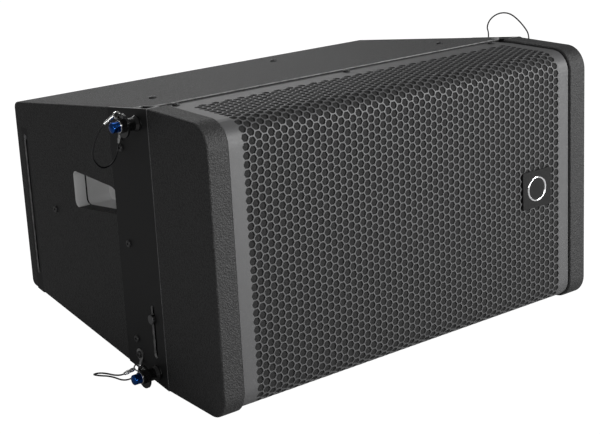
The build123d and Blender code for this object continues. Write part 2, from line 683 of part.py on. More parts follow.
anchors = []
for (side, end), (eye_share, ferrule_way, anchor_way) in PINS.items():
    height = pin_heights[end]
    axis_plane = Plane(
        origin=outward(0, LINK_DEPTH, height), x_dir=(-1, 0, 0), z_dir=(0, 1, 0)
    )
    pin_axis = Axis(axis_plane.origin, axis_plane.x_dir)
    eye_way = Vector(0, *eye_share).normalized()
    hole_middle = outward(flange_middle, LINK_DEPTH, height) + eye_way * EYE_HOLE_RADIUS

    with BuildPart() as pin_shank:
        with BuildSketch(axis_plane):
            with BuildLine():
                Polyline(
                    (-pin_reach, 0),
                    (-pin_reach, PIN_SHANK / 2 - 1),
                    (1 - pin_reach, PIN_SHANK / 2),
                    (FIT, PIN_SHANK / 2),
                    (FIT, PIN_COLLAR / 2),
                    (PIN_COLLAR_LENGTH, PIN_COLLAR / 2),
                    (PIN_COLLAR_LENGTH, PIN_SHANK / 2),
                    (GRIP_END / 2, PIN_SHANK / 2),
                    (GRIP_END / 2, 0),
                    close=True,
                )
            make_face()
        revolve(axis=pin_axis)
        mirror_to(side)
    pin_shank.part.label = f"{side}_{end}_pin_shank"
    export_step(pin_shank.part, f"parts/{side}_{end}_pin_shank.step")

    with BuildPart() as pin_grip:
        bore_end = button_inner - BUTTON_TRAVEL - BUTTON_ROOM
        with BuildSketch(axis_plane):
            with BuildLine():
                Polyline(
                    (PIN_COLLAR_LENGTH, PIN_SHANK / 2),
                    (PIN_COLLAR_LENGTH, GRIP_BASE / 2),
                    (PIN_COLLAR_LENGTH + 1.5, GRIP_BASE / 2),
                    (PIN_COLLAR_LENGTH + 5, GRIP_NECK / 2),
                    (FLANGE_START - 2, GRIP_NECK / 2),
                    (FLANGE_START, GRIP_NECK / 2 + 2),
                    (FLANGE_START, GRIP_HEAD / 2),
                    (FLANGE_START + FLANGE, GRIP_HEAD / 2),
                    (FLANGE_START + FLANGE, GRIP_LIP / 2),
                    (GRIP_END - GRIP_BEVEL, GRIP_LIP / 2),
                    (GRIP_END, GRIP_LIP / 2 - GRIP_BEVEL),
                    (GRIP_END, BUTTON / 2 + PIN_FIT),
                    (bore_end, BUTTON / 2 + PIN_FIT),
                    (bore_end, 0),
                    (GRIP_END / 2, 0),
                    (GRIP_END / 2, PIN_SHANK / 2),
                    close=True,
                )
            make_face()
        revolve(axis=pin_axis)
        with BuildSketch(Plane(origin=hole_middle, z_dir=(-1, 0, 0))):
            Circle(EYE_HOLE / 2)
        extrude(amount=FLANGE, both=True, mode=Mode.SUBTRACT)
        mirror_to(side)
    pin_grip.part.label = f"{side}_{end}_pin_grip"
    export_step(pin_grip.part, f"parts/{side}_{end}_pin_grip.step")

    with BuildPart() as pin_button:
        with BuildSketch(axis_plane):
            with BuildLine():
                tip = GRIP_END + BUTTON_OUT
                Polyline(
                    (tip, 0),
                    (button_inner, 0),
                    (button_inner, BUTTON / 2),
                    (tip - BUTTON_DOME, BUTTON / 2),
                )
                dome(tip, BUTTON / 2, BUTTON_DOME)
            make_face()
        revolve(axis=pin_axis)
        mirror_to(side)
    pin_button.part.label = f"{side}_{end}_pin_button"
    export_step(pin_button.part, f"parts/{side}_{end}_pin_button.step")

    eye_centre = outward(eye_middle, LINK_DEPTH, height) + eye_way * eye_arm
    ferrule_dir = plate_direction(*ferrule_way)
    ferrule_start = eye_centre + Vector(-EYE_RADIUS, 0, 0)
    ferrule_end = ferrule_start + ferrule_dir * FERRULE_LENGTH
    with BuildPart() as pin_eye:
        ring_way = eye_way.cross(Vector(-1, 0, 0))
        with BuildSketch(Plane(origin=eye_centre, x_dir=eye_way, z_dir=(-1, 0, 0))):
            with Locations((EYE_RADIUS, 0)):
                Circle(EYE_WIRE / 2)
        revolve(axis=Axis(eye_centre, ring_way))
        with BuildSketch(Plane(origin=ferrule_start, z_dir=ferrule_dir)):
            Circle(FERRULE / 2)
        extrude(amount=FERRULE_LENGTH)
        mirror_to(side)
    pin_eye.part.label = f"{side}_{end}_pin_eye"
    export_step(pin_eye.part, f"parts/{side}_{end}_pin_eye.step")

    anchor_centre = outward(0, ANCHOR_DEPTH, anchor_heights[end])
    anchor_dir = plate_direction(*anchor_way)
    ring_way = plate_direction(0, *anchor_way[1:])
    anchor_start = anchor_centre + ring_way * (ANCHOR_RING / 2 - ANCHOR_LAP)
    anchor_start -= Vector(ANCHOR_OUT, 0, 0)
    anchor_end = anchor_start + anchor_dir * FERRULE_LENGTH
    with BuildPart() as anchor:
        with BuildSketch(Plane(origin=anchor_centre, z_dir=(-1, 0, 0))):
            Circle(ANCHOR_RING / 2)
            Circle(SCREW_SHANK / 2 + SCREW_FIT, mode=Mode.SUBTRACT)
        extrude(amount=ANCHOR_RING_THICKNESS)
        with BuildSketch(Plane(origin=anchor_start, z_dir=anchor_dir)):
            Circle(FERRULE / 2)
        extrude(amount=FERRULE_LENGTH)
        # the ferrule's back is pressed flat where it lies on the plate
        with BuildSketch(left_face):
            with Locations((ANCHOR_DEPTH, anchor_heights[end])):
                Rectangle(6 * FERRULE_LENGTH, 6 * FERRULE_LENGTH)
        extrude(amount=FERRULE, mode=Mode.SUBTRACT)
        mirror_to(side)
    anchors.append(anchor.part)

    route = [anchor_end, anchor_end + anchor_dir * LEAD]
    route += [
        outward(out, LINK_DEPTH + behind, height + above)
        for out, behind, above in ROUTES[side, end]
    ]
    route += [ferrule_end + ferrule_dir * LEAD, ferrule_end]
    radii = route_radii(route)
    with BuildPart() as lanyard:
        with BuildLine() as path:
            FilletPolyline(*route, radius=radii)
        cable = path.wire()
        with BuildSketch(Plane(origin=cable @ 0, z_dir=cable % 0)):
            Circle(WIRE / 2)
        sweep(path=cable)
        tube = math.pi * WIRE ** 2 / 4 * cable.length
        print(
            f"{side} {end} lanyard: length {cable.length:.1f}, volume share",
            f"{lanyard.part.volume / tube:.3f}, bends",
            [round(radius, 1) for radius in radii],
        )
        mirror_to(side)
    lanyard.part.label = f"{side}_{end}_lanyard"
    export_step(lanyard.part, f"parts/{side}_{end}_lanyard.step")

with BuildPart() as lanyard_anchors:
    add(anchors)
lanyard_anchors.part.label = "lanyard_anchors"
export_step(lanyard_anchors.part, "parts/lanyard_anchors.step")


# ================================================================ fasteners
def screw_group(planes):
    """Button-head screws with hexagon sockets, one on each plane, as separate solids."""
    with BuildPart() as screws:
        for plane in planes:
            with BuildSketch(plane):
                Circle(SCREW_HEAD / 2)
            extrude(amount=SCREW_HEAD_HEIGHT)
            crown = screws.faces(Select.LAST).sort_by(Axis(plane.origin, plane.z_dir))[-1]
            fillet(crown.edges(), SCREW_ROUND)
            with BuildSketch(plane):
                Circle(SCREW_SHANK / 2)
            extrude(amount=-SCREW_LENGTH)
            with BuildSketch(plane.offset(SCREW_HEAD_HEIGHT)):
                RegularPolygon(SCREW_SOCKET / 2, 6)
            extrude(amount=-SOCKET_IN_SCREW, mode=Mode.SUBTRACT)
    return screws.part


side_planes = []
for sign in (-1, 1):
    spots = [(0, *spot) for spot in strip_screws + wall_screws]
    spots += [(ANCHOR_RING_THICKNESS, *spot) for spot in anchor_screws]
    for out, depth, height in spots:
        origin = at(sign * (WIDTH / 2 + out), depth, height)
        side_planes.append(Plane(origin=origin, x_dir=(0, 1, 0), z_dir=(sign, 0, 0)))
with BuildPart() as rigging_screws:
    add(screw_group(side_planes))
rigging_screws.part.label = "rigging_screws"
export_step(rigging_screws.part, "parts/rigging_screws.step")

top_planes = [wedge_plane(x, depth) for x, depth in TOP_SCREWS]
top_planes += [wedge_plane(x, GRILLE_SCREW_DEPTH, GRILLE_INSET) for x in GRILLE_SCREWS]
with BuildPart() as case_screws:
    add(screw_group(top_planes))
    mirror(about=Plane.XY.offset(MIDDLE))
    half_width = (PLATE_WIDTH - PLATE_LAP) / 2
    half_height = (PLATE_HEIGHT - PLATE_LAP) / 2
    for x in (-half_width, half_width):
        for height in (MIDDLE - half_height, MIDDLE + half_height):
            origin = at(x, REAR_FACE, height)
            add(screw_group([Plane(origin=origin, x_dir=(1, 0, 0), z_dir=(0, 1, 0))]))
case_screws.part.label = "case_screws"
export_step(case_screws.part, "parts/case_screws.step")


# ================================================================ woofer
woofer_plane = Plane(
    origin=at(WOOFER_X, BAFFLE_DEPTH, MIDDLE), x_dir=(0, 1, 0), z_dir=(1, 0, 0)
)
woofer_axis = Axis(woofer_plane.origin, woofer_plane.x_dir)
rim = WOOFER_DIAMETER / 2
opening = WOOFER_OPENING / 2
basket_inner = opening - BASKET_WALL
cone_rim = basket_inner - WOOFER_SURROUND + 3
spider_rim = BASKET_SEAT - 4
coil_inner = COIL_RADIUS - COIL_FORMER
coil_outer = COIL_RADIUS + WINDING
motor = WOOFER_DEPTH - 5
plate_end = motor + 8
magnet_end = plate_end + MAGNET_DEPTH / 2
motor_end = magnet_end + 8


def ring(outline, about):
    """A ring turned about the plane's X axis, from its half outline of distance and radius."""
    with BuildPart() as turned:
        with BuildSketch(about):
            with BuildLine():
                Polyline(*outline, close=True)
            make_face()
        revolve(axis=Axis(about.origin, about.x_dir))
    return turned.part


with BuildPart() as woofer_basket:
    add(ring(
        [
            (-WOOFER_FLANGE, rim), (0, rim), (0, opening - 1), (18, opening - 3),
            (motor - 20, BASKET_SEAT), (motor, BASKET_SEAT), (motor, COIL_RADIUS + 2),
            (motor - 3, COIL_RADIUS + 2), (motor - 3, spider_rim), (motor - 22, spider_rim),
            (13, basket_inner), (-WOOFER_FLANGE, basket_inner),
        ],
        woofer_plane,
    ))
    with BuildSketch(face_plane(BAFFLE_DEPTH + 20)):
        with Locations((WOOFER_X, MIDDLE)):
            with PolarLocations((opening + BASKET_SEAT) / 2, 6):
                Rectangle(opening - BASKET_SEAT - 20, BASKET_WINDOW)
    extrude(amount=-(motor - 24), mode=Mode.SUBTRACT)
    with BuildSketch(face_plane(BAFFLE_DEPTH)):
        with Locations((WOOFER_X, MIDDLE)):
            with PolarLocations(rim - RIM_SCREW, WOOFER_SCREWS, FIRST_SCREW):
                Circle(SCREW_SHANK / 2 + SCREW_FIT)
    extrude(amount=WOOFER_FLANGE, mode=Mode.SUBTRACT)
woofer_basket.part.label = "woofer_basket"
export_step(woofer_basket.part, "parts/woofer_basket.step")

with BuildPart() as woofer_magnet:
    magnet = MAGNET_DIAMETER / 2
    pole = coil_inner - GAP
    gap_outer = coil_outer + GAP
    add(ring([(motor, gap_outer), (motor, magnet - 10), (plate_end, magnet - 10),
          (plate_end, gap_outer)], woofer_plane))
    add(ring([(plate_end, gap_outer + 8), (plate_end, magnet), (magnet_end, magnet),
          (magnet_end, gap_outer + 8)], woofer_plane))
    add(ring([(motor, 0), (motor, pole), (magnet_end, pole), (magnet_end, magnet - 10),
          (motor_end, magnet - 10), (motor_end, 0)], woofer_plane))
woofer_magnet.part.label = "woofer_magnet"
export_step(woofer_magnet.part, "parts/woofer_magnet.step")

with BuildPart() as woofer_cone:
    add(ring([(3, cone_rim), (CONE_DEPTH, COIL_RADIUS), (CONE_DEPTH + 2, COIL_RADIUS),
          (5, cone_rim)], woofer_plane))
woofer_cone.part.label = "woofer_cone"
export_step(woofer_cone.part, "parts/woofer_cone.step")

with BuildPart() as dust_cap:
    with BuildSketch(woofer_plane):
        with BuildLine():
            cap_edge = CONE_DEPTH - 2 * CONE_THICKNESS
            front = dome(cap_edge - CAP_RISE, COIL_RADIUS, -CAP_RISE)
            back = dome(cap_edge - CAP_RISE + 1, COIL_RADIUS, -CAP_RISE)
            Line(front @ 0, back @ 0)
            Line(front @ 1, back @ 1)
        make_face()
    revolve(axis=woofer_axis)
dust_cap.part.label = "woofer_dust_cap"
export_step(dust_cap.part, "parts/woofer_dust_cap.step")

with BuildPart() as voice_coil:
    coil_start = CONE_DEPTH + 2
    add(ring([(coil_start, coil_inner), (coil_start, coil_outer),
          (motor + COIL_LENGTH / 2, coil_outer), (motor + COIL_LENGTH / 2, coil_inner)],
         woofer_plane))
voice_coil.part.label = "woofer_voice_coil"
export_step(voice_coil.part, "parts/woofer_voice_coil.step")

with BuildPart() as spider:
    spider_depth = motor - 16
    add(ring([(spider_depth, coil_outer + FIT), (spider_depth, spider_rim),
          (spider_depth + 1.5, spider_rim), (spider_depth + 1.5, coil_outer + FIT)], woofer_plane))
spider.part.label = "woofer_spider"
export_step(spider.part, "parts/woofer_spider.step")

with BuildPart() as surround:
    roll = (cone_rim + basket_inner) / 2
    half = (basket_inner - cone_rim) / 2
    with BuildSketch(woofer_plane):
        with BuildLine():
            top_roll = ThreePointArc((2, roll - half), (2 - half, roll), (2, roll + half))
            low_roll = ThreePointArc(
                (2, roll + half - 1.5), (3.5 - half, roll), (2, roll - half + 1.5)
            )
            Line(top_roll @ 1, low_roll @ 0)
            Line(low_roll @ 1, top_roll @ 0)
        make_face()
    revolve(axis=woofer_axis)
surround.part.label = "woofer_surround"
export_step(surround.part, "parts/woofer_surround.step")

with BuildPart() as woofer_screws:
    for index in range(WOOFER_SCREWS):
        angle = math.radians(FIRST_SCREW + index * 360 / WOOFER_SCREWS)
        origin = at(
            WOOFER_X + (rim - RIM_SCREW) * math.cos(angle),
            BAFFLE_DEPTH - WOOFER_FLANGE,
            MIDDLE + (rim - RIM_SCREW) * math.sin(angle),
        )
        add(screw_group([Plane(origin=origin, x_dir=(1, 0, 0), z_dir=(0, -1, 0))]))
woofer_screws.part.label = "woofer_screws"
export_step(woofer_screws.part, "parts/woofer_screws.step")


# ================================================================ horn and its driver
horn_face = BAFFLE_DEPTH - HORN_WALL
horn_end = BAFFLE_DEPTH + HORN_LENGTH
mouth_height = HORN_HEIGHT - 2 * HORN_RIM
with BuildPart() as horn:
    with BuildSketch(face_plane(BAFFLE_DEPTH)):
        with Locations((HORN_X, MIDDLE)):
            RectangleRounded(HORN_WIDTH, mouth_height, 8)
    with BuildSketch(face_plane(horn_end)):
        with Locations((HORN_X, MIDDLE)):
            Circle(THROAT / 2 + HORN_WALL)
    loft()
    with BuildSketch(face_plane(BAFFLE_DEPTH)):
        with Locations((HORN_X, MIDDLE)):
            RectangleRounded(HORN_WIDTH + 2 * HORN_RIM, HORN_HEIGHT, 10)
    extrude(amount=HORN_WALL)
    with BuildPart(mode=Mode.SUBTRACT):
        with BuildSketch(face_plane(horn_face)):
            with Locations((HORN_X, MIDDLE)):
                RectangleRounded(HORN_WIDTH - 2 * HORN_WALL, mouth_height - 2 * HORN_WALL, 5)
        with BuildSketch(face_plane(horn_end)):
            with Locations((HORN_X, MIDDLE)):
                Circle(THROAT / 2)
        loft()
horn.part.label = "horn"
export_step(horn.part, "parts/horn.step")

with BuildPart() as compression_driver:
    driver = DRIVER_DIAMETER / 2
    add(ring(
        [
            (0, THROAT / 2), (0, driver - DRIVER_STEP), (DRIVER_NECK, driver - DRIVER_STEP),
            (DRIVER_NECK, driver - DRIVER_BEVEL), (DRIVER_NECK + DRIVER_BEVEL, driver),
            (DRIVER_LENGTH - DRIVER_BEVEL, driver), (DRIVER_LENGTH, driver - DRIVER_BEVEL),
            (DRIVER_LENGTH, 0), (DRIVER_THROAT, 0), (DRIVER_THROAT, THROAT / 2),
        ],
        Plane(origin=at(HORN_X, horn_end, MIDDLE), x_dir=(0, 1, 0), z_dir=(1, 0, 0)),
    ))
compression_driver.part.label = "compression_driver"
export_step(compression_driver.part, "parts/compression_driver.step")


# ================================================================ crossover and input plate
board_face = REAR_FACE - PANEL - STANDOFF
with BuildPart() as crossover_board:
    with BuildSketch(face_plane(board_face)):
        with Locations((BOARD_X, MIDDLE)):
            Rectangle(BOARD_WIDTH, BOARD_HEIGHT)
    extrude(amount=BOARD)
    with BuildSketch(face_plane(REAR_FACE - PANEL)):
        with Locations((BOARD_X, MIDDLE)):
            with GridLocations(BOARD_WIDTH - BOARD_LAP, BOARD_HEIGHT - BOARD_LAP, 2, 2):
                Circle(STANDOFF / 2)
    extrude(amount=STANDOFF)
crossover_board.part.label = "crossover_board"
export_step(crossover_board.part, "parts/crossover_board.step")

with BuildPart() as crossover_parts:
    on_board = face_plane(board_face - BOARD)
    with BuildSketch(on_board):
        with Locations(*[(BOARD_X + x, MIDDLE + z) for x, z in COILS]):
            Circle(COIL_SPOOL / 2)
            Circle(CAPACITOR / 2, mode=Mode.SUBTRACT)
    extrude(amount=COIL_SPOOL / 2)
    with BuildSketch(on_board):
        with Locations(*[(BOARD_X + x, MIDDLE + z) for x, z in CAPACITORS]):
            Circle(CAPACITOR / 2)
    extrude(amount=CAPACITOR_HEIGHT)
    with BuildSketch(on_board):
        with Locations(*[(BOARD_X + x, MIDDLE + z) for x, z in RESISTORS]):
            Rectangle(RESISTOR_LENGTH, RESISTOR)
    extrude(amount=RESISTOR)
crossover_parts.part.label = "crossover_parts"
export_step(crossover_parts.part, "parts/crossover_parts.step")

with BuildPart() as input_plate:
    with BuildSketch(face_plane(REAR_FACE)):
        with Locations((0, MIDDLE)):
            Rectangle(PLATE_WIDTH, PLATE_HEIGHT)
            with GridLocations(PLATE_WIDTH - PLATE_LAP, PLATE_HEIGHT - PLATE_LAP, 2, 2):
                Circle(SCREW_SHANK / 2 + SCREW_FIT, mode=Mode.SUBTRACT)
            with GridLocations(SOCKET_SPACING, 0, 2, 1):
                Circle(SOCKET_BORE / 2 + SOCKET_WALL, mode=Mode.SUBTRACT)
    extrude(amount=PLATE)
input_plate.part.label = "input_plate"
export_step(input_plate.part, "parts/input_plate.step")

with BuildPart() as input_sockets:
    for sign in (-1, 1):
        socket_x = sign * SOCKET_SPACING / 2
        with BuildSketch(face_plane(REAR_FACE)):
            with Locations((socket_x, MIDDLE)):
                RectangleRounded(SOCKET_FLANGE, SOCKET_FLANGE, SOCKET_CORNER)
        extrude(amount=-SOCKET_LIP)
        with BuildSketch(face_plane(REAR_FACE)):
            with Locations((socket_x, MIDDLE)):
                Circle(SOCKET_BORE / 2 + SOCKET_WALL)
        extrude(amount=SOCKET_DEPTH + SOCKET_WALL)
        with BuildSketch(face_plane(REAR_FACE + SOCKET_LIP)):
            with Locations((socket_x, MIDDLE)):
                Circle(SOCKET_BORE / 2)
        extrude(amount=SOCKET_DEPTH + SOCKET_LIP, mode=Mode.SUBTRACT)
input_sockets.part.label = "input_sockets"
export_step(input_sockets.part, "parts/input_sockets.step")
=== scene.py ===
"""Looks of the line array loudspeaker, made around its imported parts.

Metres; +X right, +Y back, +Z up.
"""

import json
import math

import bmesh
import bpy
from mathutils import Matrix, Vector


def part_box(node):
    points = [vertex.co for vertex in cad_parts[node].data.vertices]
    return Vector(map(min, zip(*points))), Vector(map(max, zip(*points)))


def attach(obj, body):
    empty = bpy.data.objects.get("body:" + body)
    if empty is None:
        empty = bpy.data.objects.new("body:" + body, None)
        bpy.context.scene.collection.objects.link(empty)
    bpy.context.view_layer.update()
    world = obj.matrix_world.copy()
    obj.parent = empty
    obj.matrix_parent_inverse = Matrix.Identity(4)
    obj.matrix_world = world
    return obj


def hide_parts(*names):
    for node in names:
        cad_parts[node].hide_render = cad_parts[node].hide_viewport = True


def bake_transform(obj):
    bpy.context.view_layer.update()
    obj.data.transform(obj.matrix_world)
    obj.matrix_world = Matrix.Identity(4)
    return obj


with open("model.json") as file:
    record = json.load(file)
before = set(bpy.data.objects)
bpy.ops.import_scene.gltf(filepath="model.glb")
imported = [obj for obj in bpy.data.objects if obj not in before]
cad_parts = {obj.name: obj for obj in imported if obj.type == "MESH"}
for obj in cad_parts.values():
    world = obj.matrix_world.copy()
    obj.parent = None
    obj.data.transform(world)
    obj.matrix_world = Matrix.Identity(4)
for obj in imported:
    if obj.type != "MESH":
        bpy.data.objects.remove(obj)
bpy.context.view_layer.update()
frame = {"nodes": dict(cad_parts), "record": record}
scene = bpy.context.scene
NODES = frame["nodes"]

# Sizes shared with the cabinet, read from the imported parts.
CHEEK_LOW, CHEEK_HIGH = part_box("left_cheek")
GRILLE_LOW, GRILLE_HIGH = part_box("grille")
PLATE_LOW, PLATE_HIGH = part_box("left_rigging_channel")
WALL_LOW, WALL_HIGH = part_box("left_side_wall")
FRONT = CHEEK_LOW.y
TALL = CHEEK_HIGH.z
HALF_WIDTH = -CHEEK_LOW.x
MIDDLE = TALL / 2
WEDGE_START = CHEEK_HIGH.y - FRONT
SLOPE = math.tan(math.radians(7.12))
PIN_DEPTH = 0.142
GRIP_OUT = 0.026          # the outer end of a pin's grip
SIDES = {"left": -1, "right": 1}
PINS = [(side, end) for side in SIDES for end in ("top", "bottom")]


def at(x, depth, height):
    """A point by its distance behind the front face."""
    return Vector((x, FRONT + depth, height))


def beside(side, out, depth, height):
    """A point by its distance out from a rigging plate."""
    return at(SIDES[side] * (HALF_WIDTH + out), depth, height)


# ------------------------------------------------------------------ camera
def aim_camera():
    data = bpy.data.cameras.new("studio_camera")
    data.sensor_width = 36
    data.lens = 83.285
    data.shift_x = -0.0597
    data.shift_y = -0.0821
    data.clip_start, data.clip_end = 0.05, 50
    camera = bpy.data.objects.new("studio_camera", data)
    scene.collection.objects.link(camera)
    turn, lift, roll = (math.radians(v) for v in (-37.1524, 15.1914, -2.5723))
    back = Vector(
        (math.sin(turn) * math.cos(lift), -math.cos(turn) * math.cos(lift), math.sin(lift))
    )
    right = (-back).cross(Vector((0, 0, 1))).normalized()
    up = right.cross(-back)
    tilted_right = right * math.cos(roll) + up * math.sin(roll)
    tilted_up = up * math.cos(roll) - right * math.sin(roll)
    axes = Matrix((tilted_right, tilted_up, back)).transposed().to_4x4()
    camera.matrix_world = Matrix.Translation((-1.0487, -1.4602, 0.6813)) @ axes
    scene.camera = camera


aim_camera()


# ------------------------------------------------------------------ node helpers
def plug(tree, socket, value):
    if isinstance(value, Number):
        value = value.socket
    if isinstance(value, bpy.types.NodeSocket):
        tree.links.new(value, socket)
    else:
        socket.default_value = value


def add_node(tree, kind, settings=None, inputs=None):
    """A node of any kind: its settings are set first, then the values or links of its sockets."""
    node = tree.nodes.new(kind)
    for name, value in (settings or {}).items():
        setattr(node, name, value)
    for name, value in (inputs or {}).items():
        plug(tree, node.inputs[name], value)
    return node


class Number:
    """A number socket. A sum written with it adds its Math nodes to the tree."""

    def __init__(self, tree, socket):
        self.tree, self.socket = tree, socket

    def math(self, operation, *terms):
        node = add_node(
            self.tree, "ShaderNodeMath", {"operation": operation}, dict(enumerate(terms))
        )
        return Number(self.tree, node.outputs[0])

    def __add__(self, other):
        return self.math("ADD", self, other)

    def __sub__(self, other):
        return self.math("SUBTRACT", self, other)

    def __rsub__(self, other):
        return self.math("SUBTRACT", other, self)

    def __mul__(self, other):
        return self.math("MULTIPLY", self, other)

    def __truediv__(self, other):
        return self.math("DIVIDE", self, other)

    def __mod__(self, other):
        return self.math("FLOORED_MODULO", self, other)

    def __gt__(self, other):
        return self.math("GREATER_THAN", self, other)

    def __lt__(self, other):
        return self.math("LESS_THAN", self, other)

    __radd__ = __add__
    __rmul__ = __mul__


# ------------------------------------------------------------------ finishes
class Finish:
    """One material and its nodes."""

    def __init__(self, name, colour, roughness, **sockets):
        self.material = bpy.data.materials.new(name)
        self.material.use_nodes = True
        self.tree = self.material.node_tree
        self.shader = self.tree.nodes["Principled BSDF"]
        self.place = add_node(self.tree, "ShaderNodeTexCoord").outputs["Object"]
        self.set("Base Color", (*colour, 1))
        self.set("Roughness", roughness)
        for socket, value in sockets.items():
            self.set(socket.replace("_", " "), value)

    def set(self, socket, value):
        plug(self.tree, self.shader.inputs[socket], value)

    def node(self, kind, settings=None, inputs=None):
        return add_node(self.tree, kind, settings, inputs)

    def noise(self, scale, detail=2.0, roughness=0.5, stretch=None):
        place = self.place
        if stretch:
            place = self.node("ShaderNodeMapping", None, {0: place, "Scale": stretch}).outputs[0]
        node = self.node(
            "ShaderNodeTexNoise",
            None,
            {"Vector": place, "Scale": scale, "Detail": detail, "Roughness": roughness},
        )
        return Number(self.tree, node.outputs["Fac"])

    def cells(self, scale, feature="F1"):
        node = self.node(
            "ShaderNodeTexVoronoi", {"feature": feature}, {"Vector": self.place, "Scale": scale}
        )
        return Number(self.tree, node.outputs["Distance"])

    def ease(self, value, low, high, to_low=0.0, to_high=1.0):
        node = self.node(
            "ShaderNodeMapRange",
            {"interpolation_type": "SMOOTHSTEP"},
            {0: value, 1: low, 2: high, 3: to_low, 4: to_high},
        )
        return Number(self.tree, node.outputs[0])

    def blend(self, share, first, second):
        """Mixes two colours, each a link or three numbers."""
        node = self.node("ShaderNodeMix", {"data_type": "RGBA"})
        plug(self.tree, node.inputs[0], share)
        for socket, value in ((6, first), (7, second)):
            value = (*value, 1) if isinstance(value, tuple) else value
            plug(self.tree, node.inputs[socket], value)
        return node.outputs[2]

    def axis(self, name, of=None):
        node = self.node("ShaderNodeSeparateXYZ", None, {0: of or self.place})
        return Number(self.tree, node.outputs[name])

    def normal_axis(self, name):
        return self.axis(name, self.node("ShaderNodeNewGeometry").outputs["Normal"])

    def bump(self, height, depth, strength=1.0):
        """Relief of that depth, in metres."""
        node = self.node(
            "ShaderNodeBump", None, {"Height": height, "Distance": depth, "Strength": strength}
        )
        previous = self.shader.inputs["Normal"]
        if previous.is_linked:
            self.tree.links.new(previous.links[0].from_socket, node.inputs["Normal"])
        self.set("Normal", node.outputs[0])


def shade(colour, factor):
    return tuple(channel * factor for channel in colour)


def pebbled_coating(name, worn=0.026):
    """Sprayed black coating with fine beads, worn a little lighter on its peaks."""
    finish = Finish(name, (0.022, 0.022, 0.0225), 0.5)
    beads = finish.cells(620, "SMOOTH_F1")
    blotches = finish.noise(240, 3, 0.6)
    drift = finish.noise(9, 2)
    peaks = finish.ease(beads, 0.0, 0.75, 1.0, 0.0)
    patches = finish.ease(blotches, 0.42, 0.62)
    colour = finish.blend(peaks * 0.7, (0.008, 0.008, 0.0083), (0.026, 0.026, 0.0265))
    colour = finish.blend(patches * peaks, colour, (worn, worn, worn))
    finish.set("Base Color", finish.blend(drift * 0.5, colour, (0.017, 0.017, 0.0173)))
    finish.set("Roughness", 0.62 - peaks * 0.14 + blotches * 0.1)
    finish.bump(peaks + blotches * 0.8, 0.00045, 1.0)
    return finish


COATING = pebbled_coating("pebbled_coating")


def satin_paint(name, colour, grain, roughness=0.47):
    """Powder coat on steel, with a fine orange peel."""
    finish = Finish(name, colour, roughness)
    peel = finish.noise(grain, 2)
    speck = finish.noise(grain * 3.2, 1)
    finish.set("Base Color", finish.blend(peel, shade(colour, 0.82), shade(colour, 1.2)))
    finish.set("Roughness", roughness - 0.08 + speck * 0.16)
    finish.bump(peel + speck * 0.5, 0.00006, 0.5)
    return finish


def paint_edge_highlight(finish, place, edge, width, colour):
    """Painted highlight: the base colour lightened in patches towards a bright colour where the
    mask passes the edge.
    """
    highlighted = finish.ease(place, edge, edge + width)
    patchy = finish.ease(finish.noise(120, 3), 0.3, 0.6, 0.55, 1.0)
    old = finish.shader.inputs["Base Color"].links[0].from_socket
    finish.set("Base Color", finish.blend(highlighted * patchy, old, colour))


GRILLE_PAINT = satin_paint("grille_paint", (0.078, 0.078, 0.0795), 900)
PANEL_COATING = pebbled_coating("panel_coating", 0.07)
# Painted highlight: the top panel's front lip, where faces turn to the front near the top, is
# lightened to grey as if catching the front light.
paint_edge_highlight(
    PANEL_COATING,
    PANEL_COATING.ease(0 - PANEL_COATING.normal_axis("Y"), 0.5, 0.8)
    * (PANEL_COATING.axis("Z") > TALL - (GRILLE_HIGH.y - FRONT - WEDGE_START) * SLOPE - 0.0014),
    0.2,
    0.6,
    (0.33, 0.33, 0.33),
)
RIGGING_PAINT = satin_paint("rigging_paint", (0.010, 0.010, 0.0104), 1400, 0.56)
RIGGING_PAINT.set("Specular IOR Level", 0.3)
# Painted highlight: a thin light line along the rigging plate's front edge, where the convex edge
# catches the light.
paint_edge_highlight(
    RIGGING_PAINT, 0 - RIGGING_PAINT.axis("Y"), -PLATE_LOW.y - 0.0011, 0.0006, (0.16, 0.16, 0.165)
)
# Painted highlight: faces of the rigging plate that face the front are lightened, as if lit.
paint_edge_highlight(RIGGING_PAINT, 0 - RIGGING_PAINT.normal_axis("Y"), 0.5, 0.4, (0.34, 0.34, 0.34))
# Painted highlight: faces of the rigging plate that face up, such as the slot ends and its top
# edge, are lightened, as if lit.
paint_edge_highlight(RIGGING_PAINT, RIGGING_PAINT.normal_axis("Z"), 0.4, 0.4, (0.34, 0.34, 0.34))
SCREW_BLACK = satin_paint("black_zinc", (0.03, 0.03, 0.031), 1600, 0.32)


def metal(name, colour, roughness, brushed=(1, 1, 1)):
    finish = Finish(name, colour, roughness, Metallic=1.0)
    streaks = finish.noise(700, 3, 0.6, brushed)
    smears = finish.noise(60, 2)
    finish.set("Base Color", finish.blend(smears, shade(colour, 0.86), shade(colour, 1.05)))
    finish.set("Roughness", roughness - 0.06 + streaks * 0.14)
    finish.bump(streaks, 0.00002, 0.4)
    return finish


PIN_STEEL = metal("bright_steel", (0.72, 0.72, 0.71), 0.2)
LINK_STEEL = metal("dark_zinc", (0.16, 0.16, 0.165), 0.36, (1, 1, 0.05))
FERRULE_METAL = metal("crimped_metal", (0.78, 0.78, 0.77), 0.24)
CHROME = metal("bright_chrome", (0.86, 0.86, 0.87), 0.08)
BUTTON_BLUE = metal("blue_anodised", (0.015, 0.085, 0.34), 0.16)
ANCHOR_METAL = metal("dull_crimp", (0.42, 0.42, 0.42), 0.4)
COIL_COPPER = metal("copper_winding", (0.72, 0.30, 0.14), 0.35, (1, 0.1, 1))
BASKET_METAL = satin_paint("cast_basket", (0.03, 0.03, 0.032), 500, 0.5)
FERRITE = satin_paint("ferrite", (0.05, 0.05, 0.052), 700, 0.55)


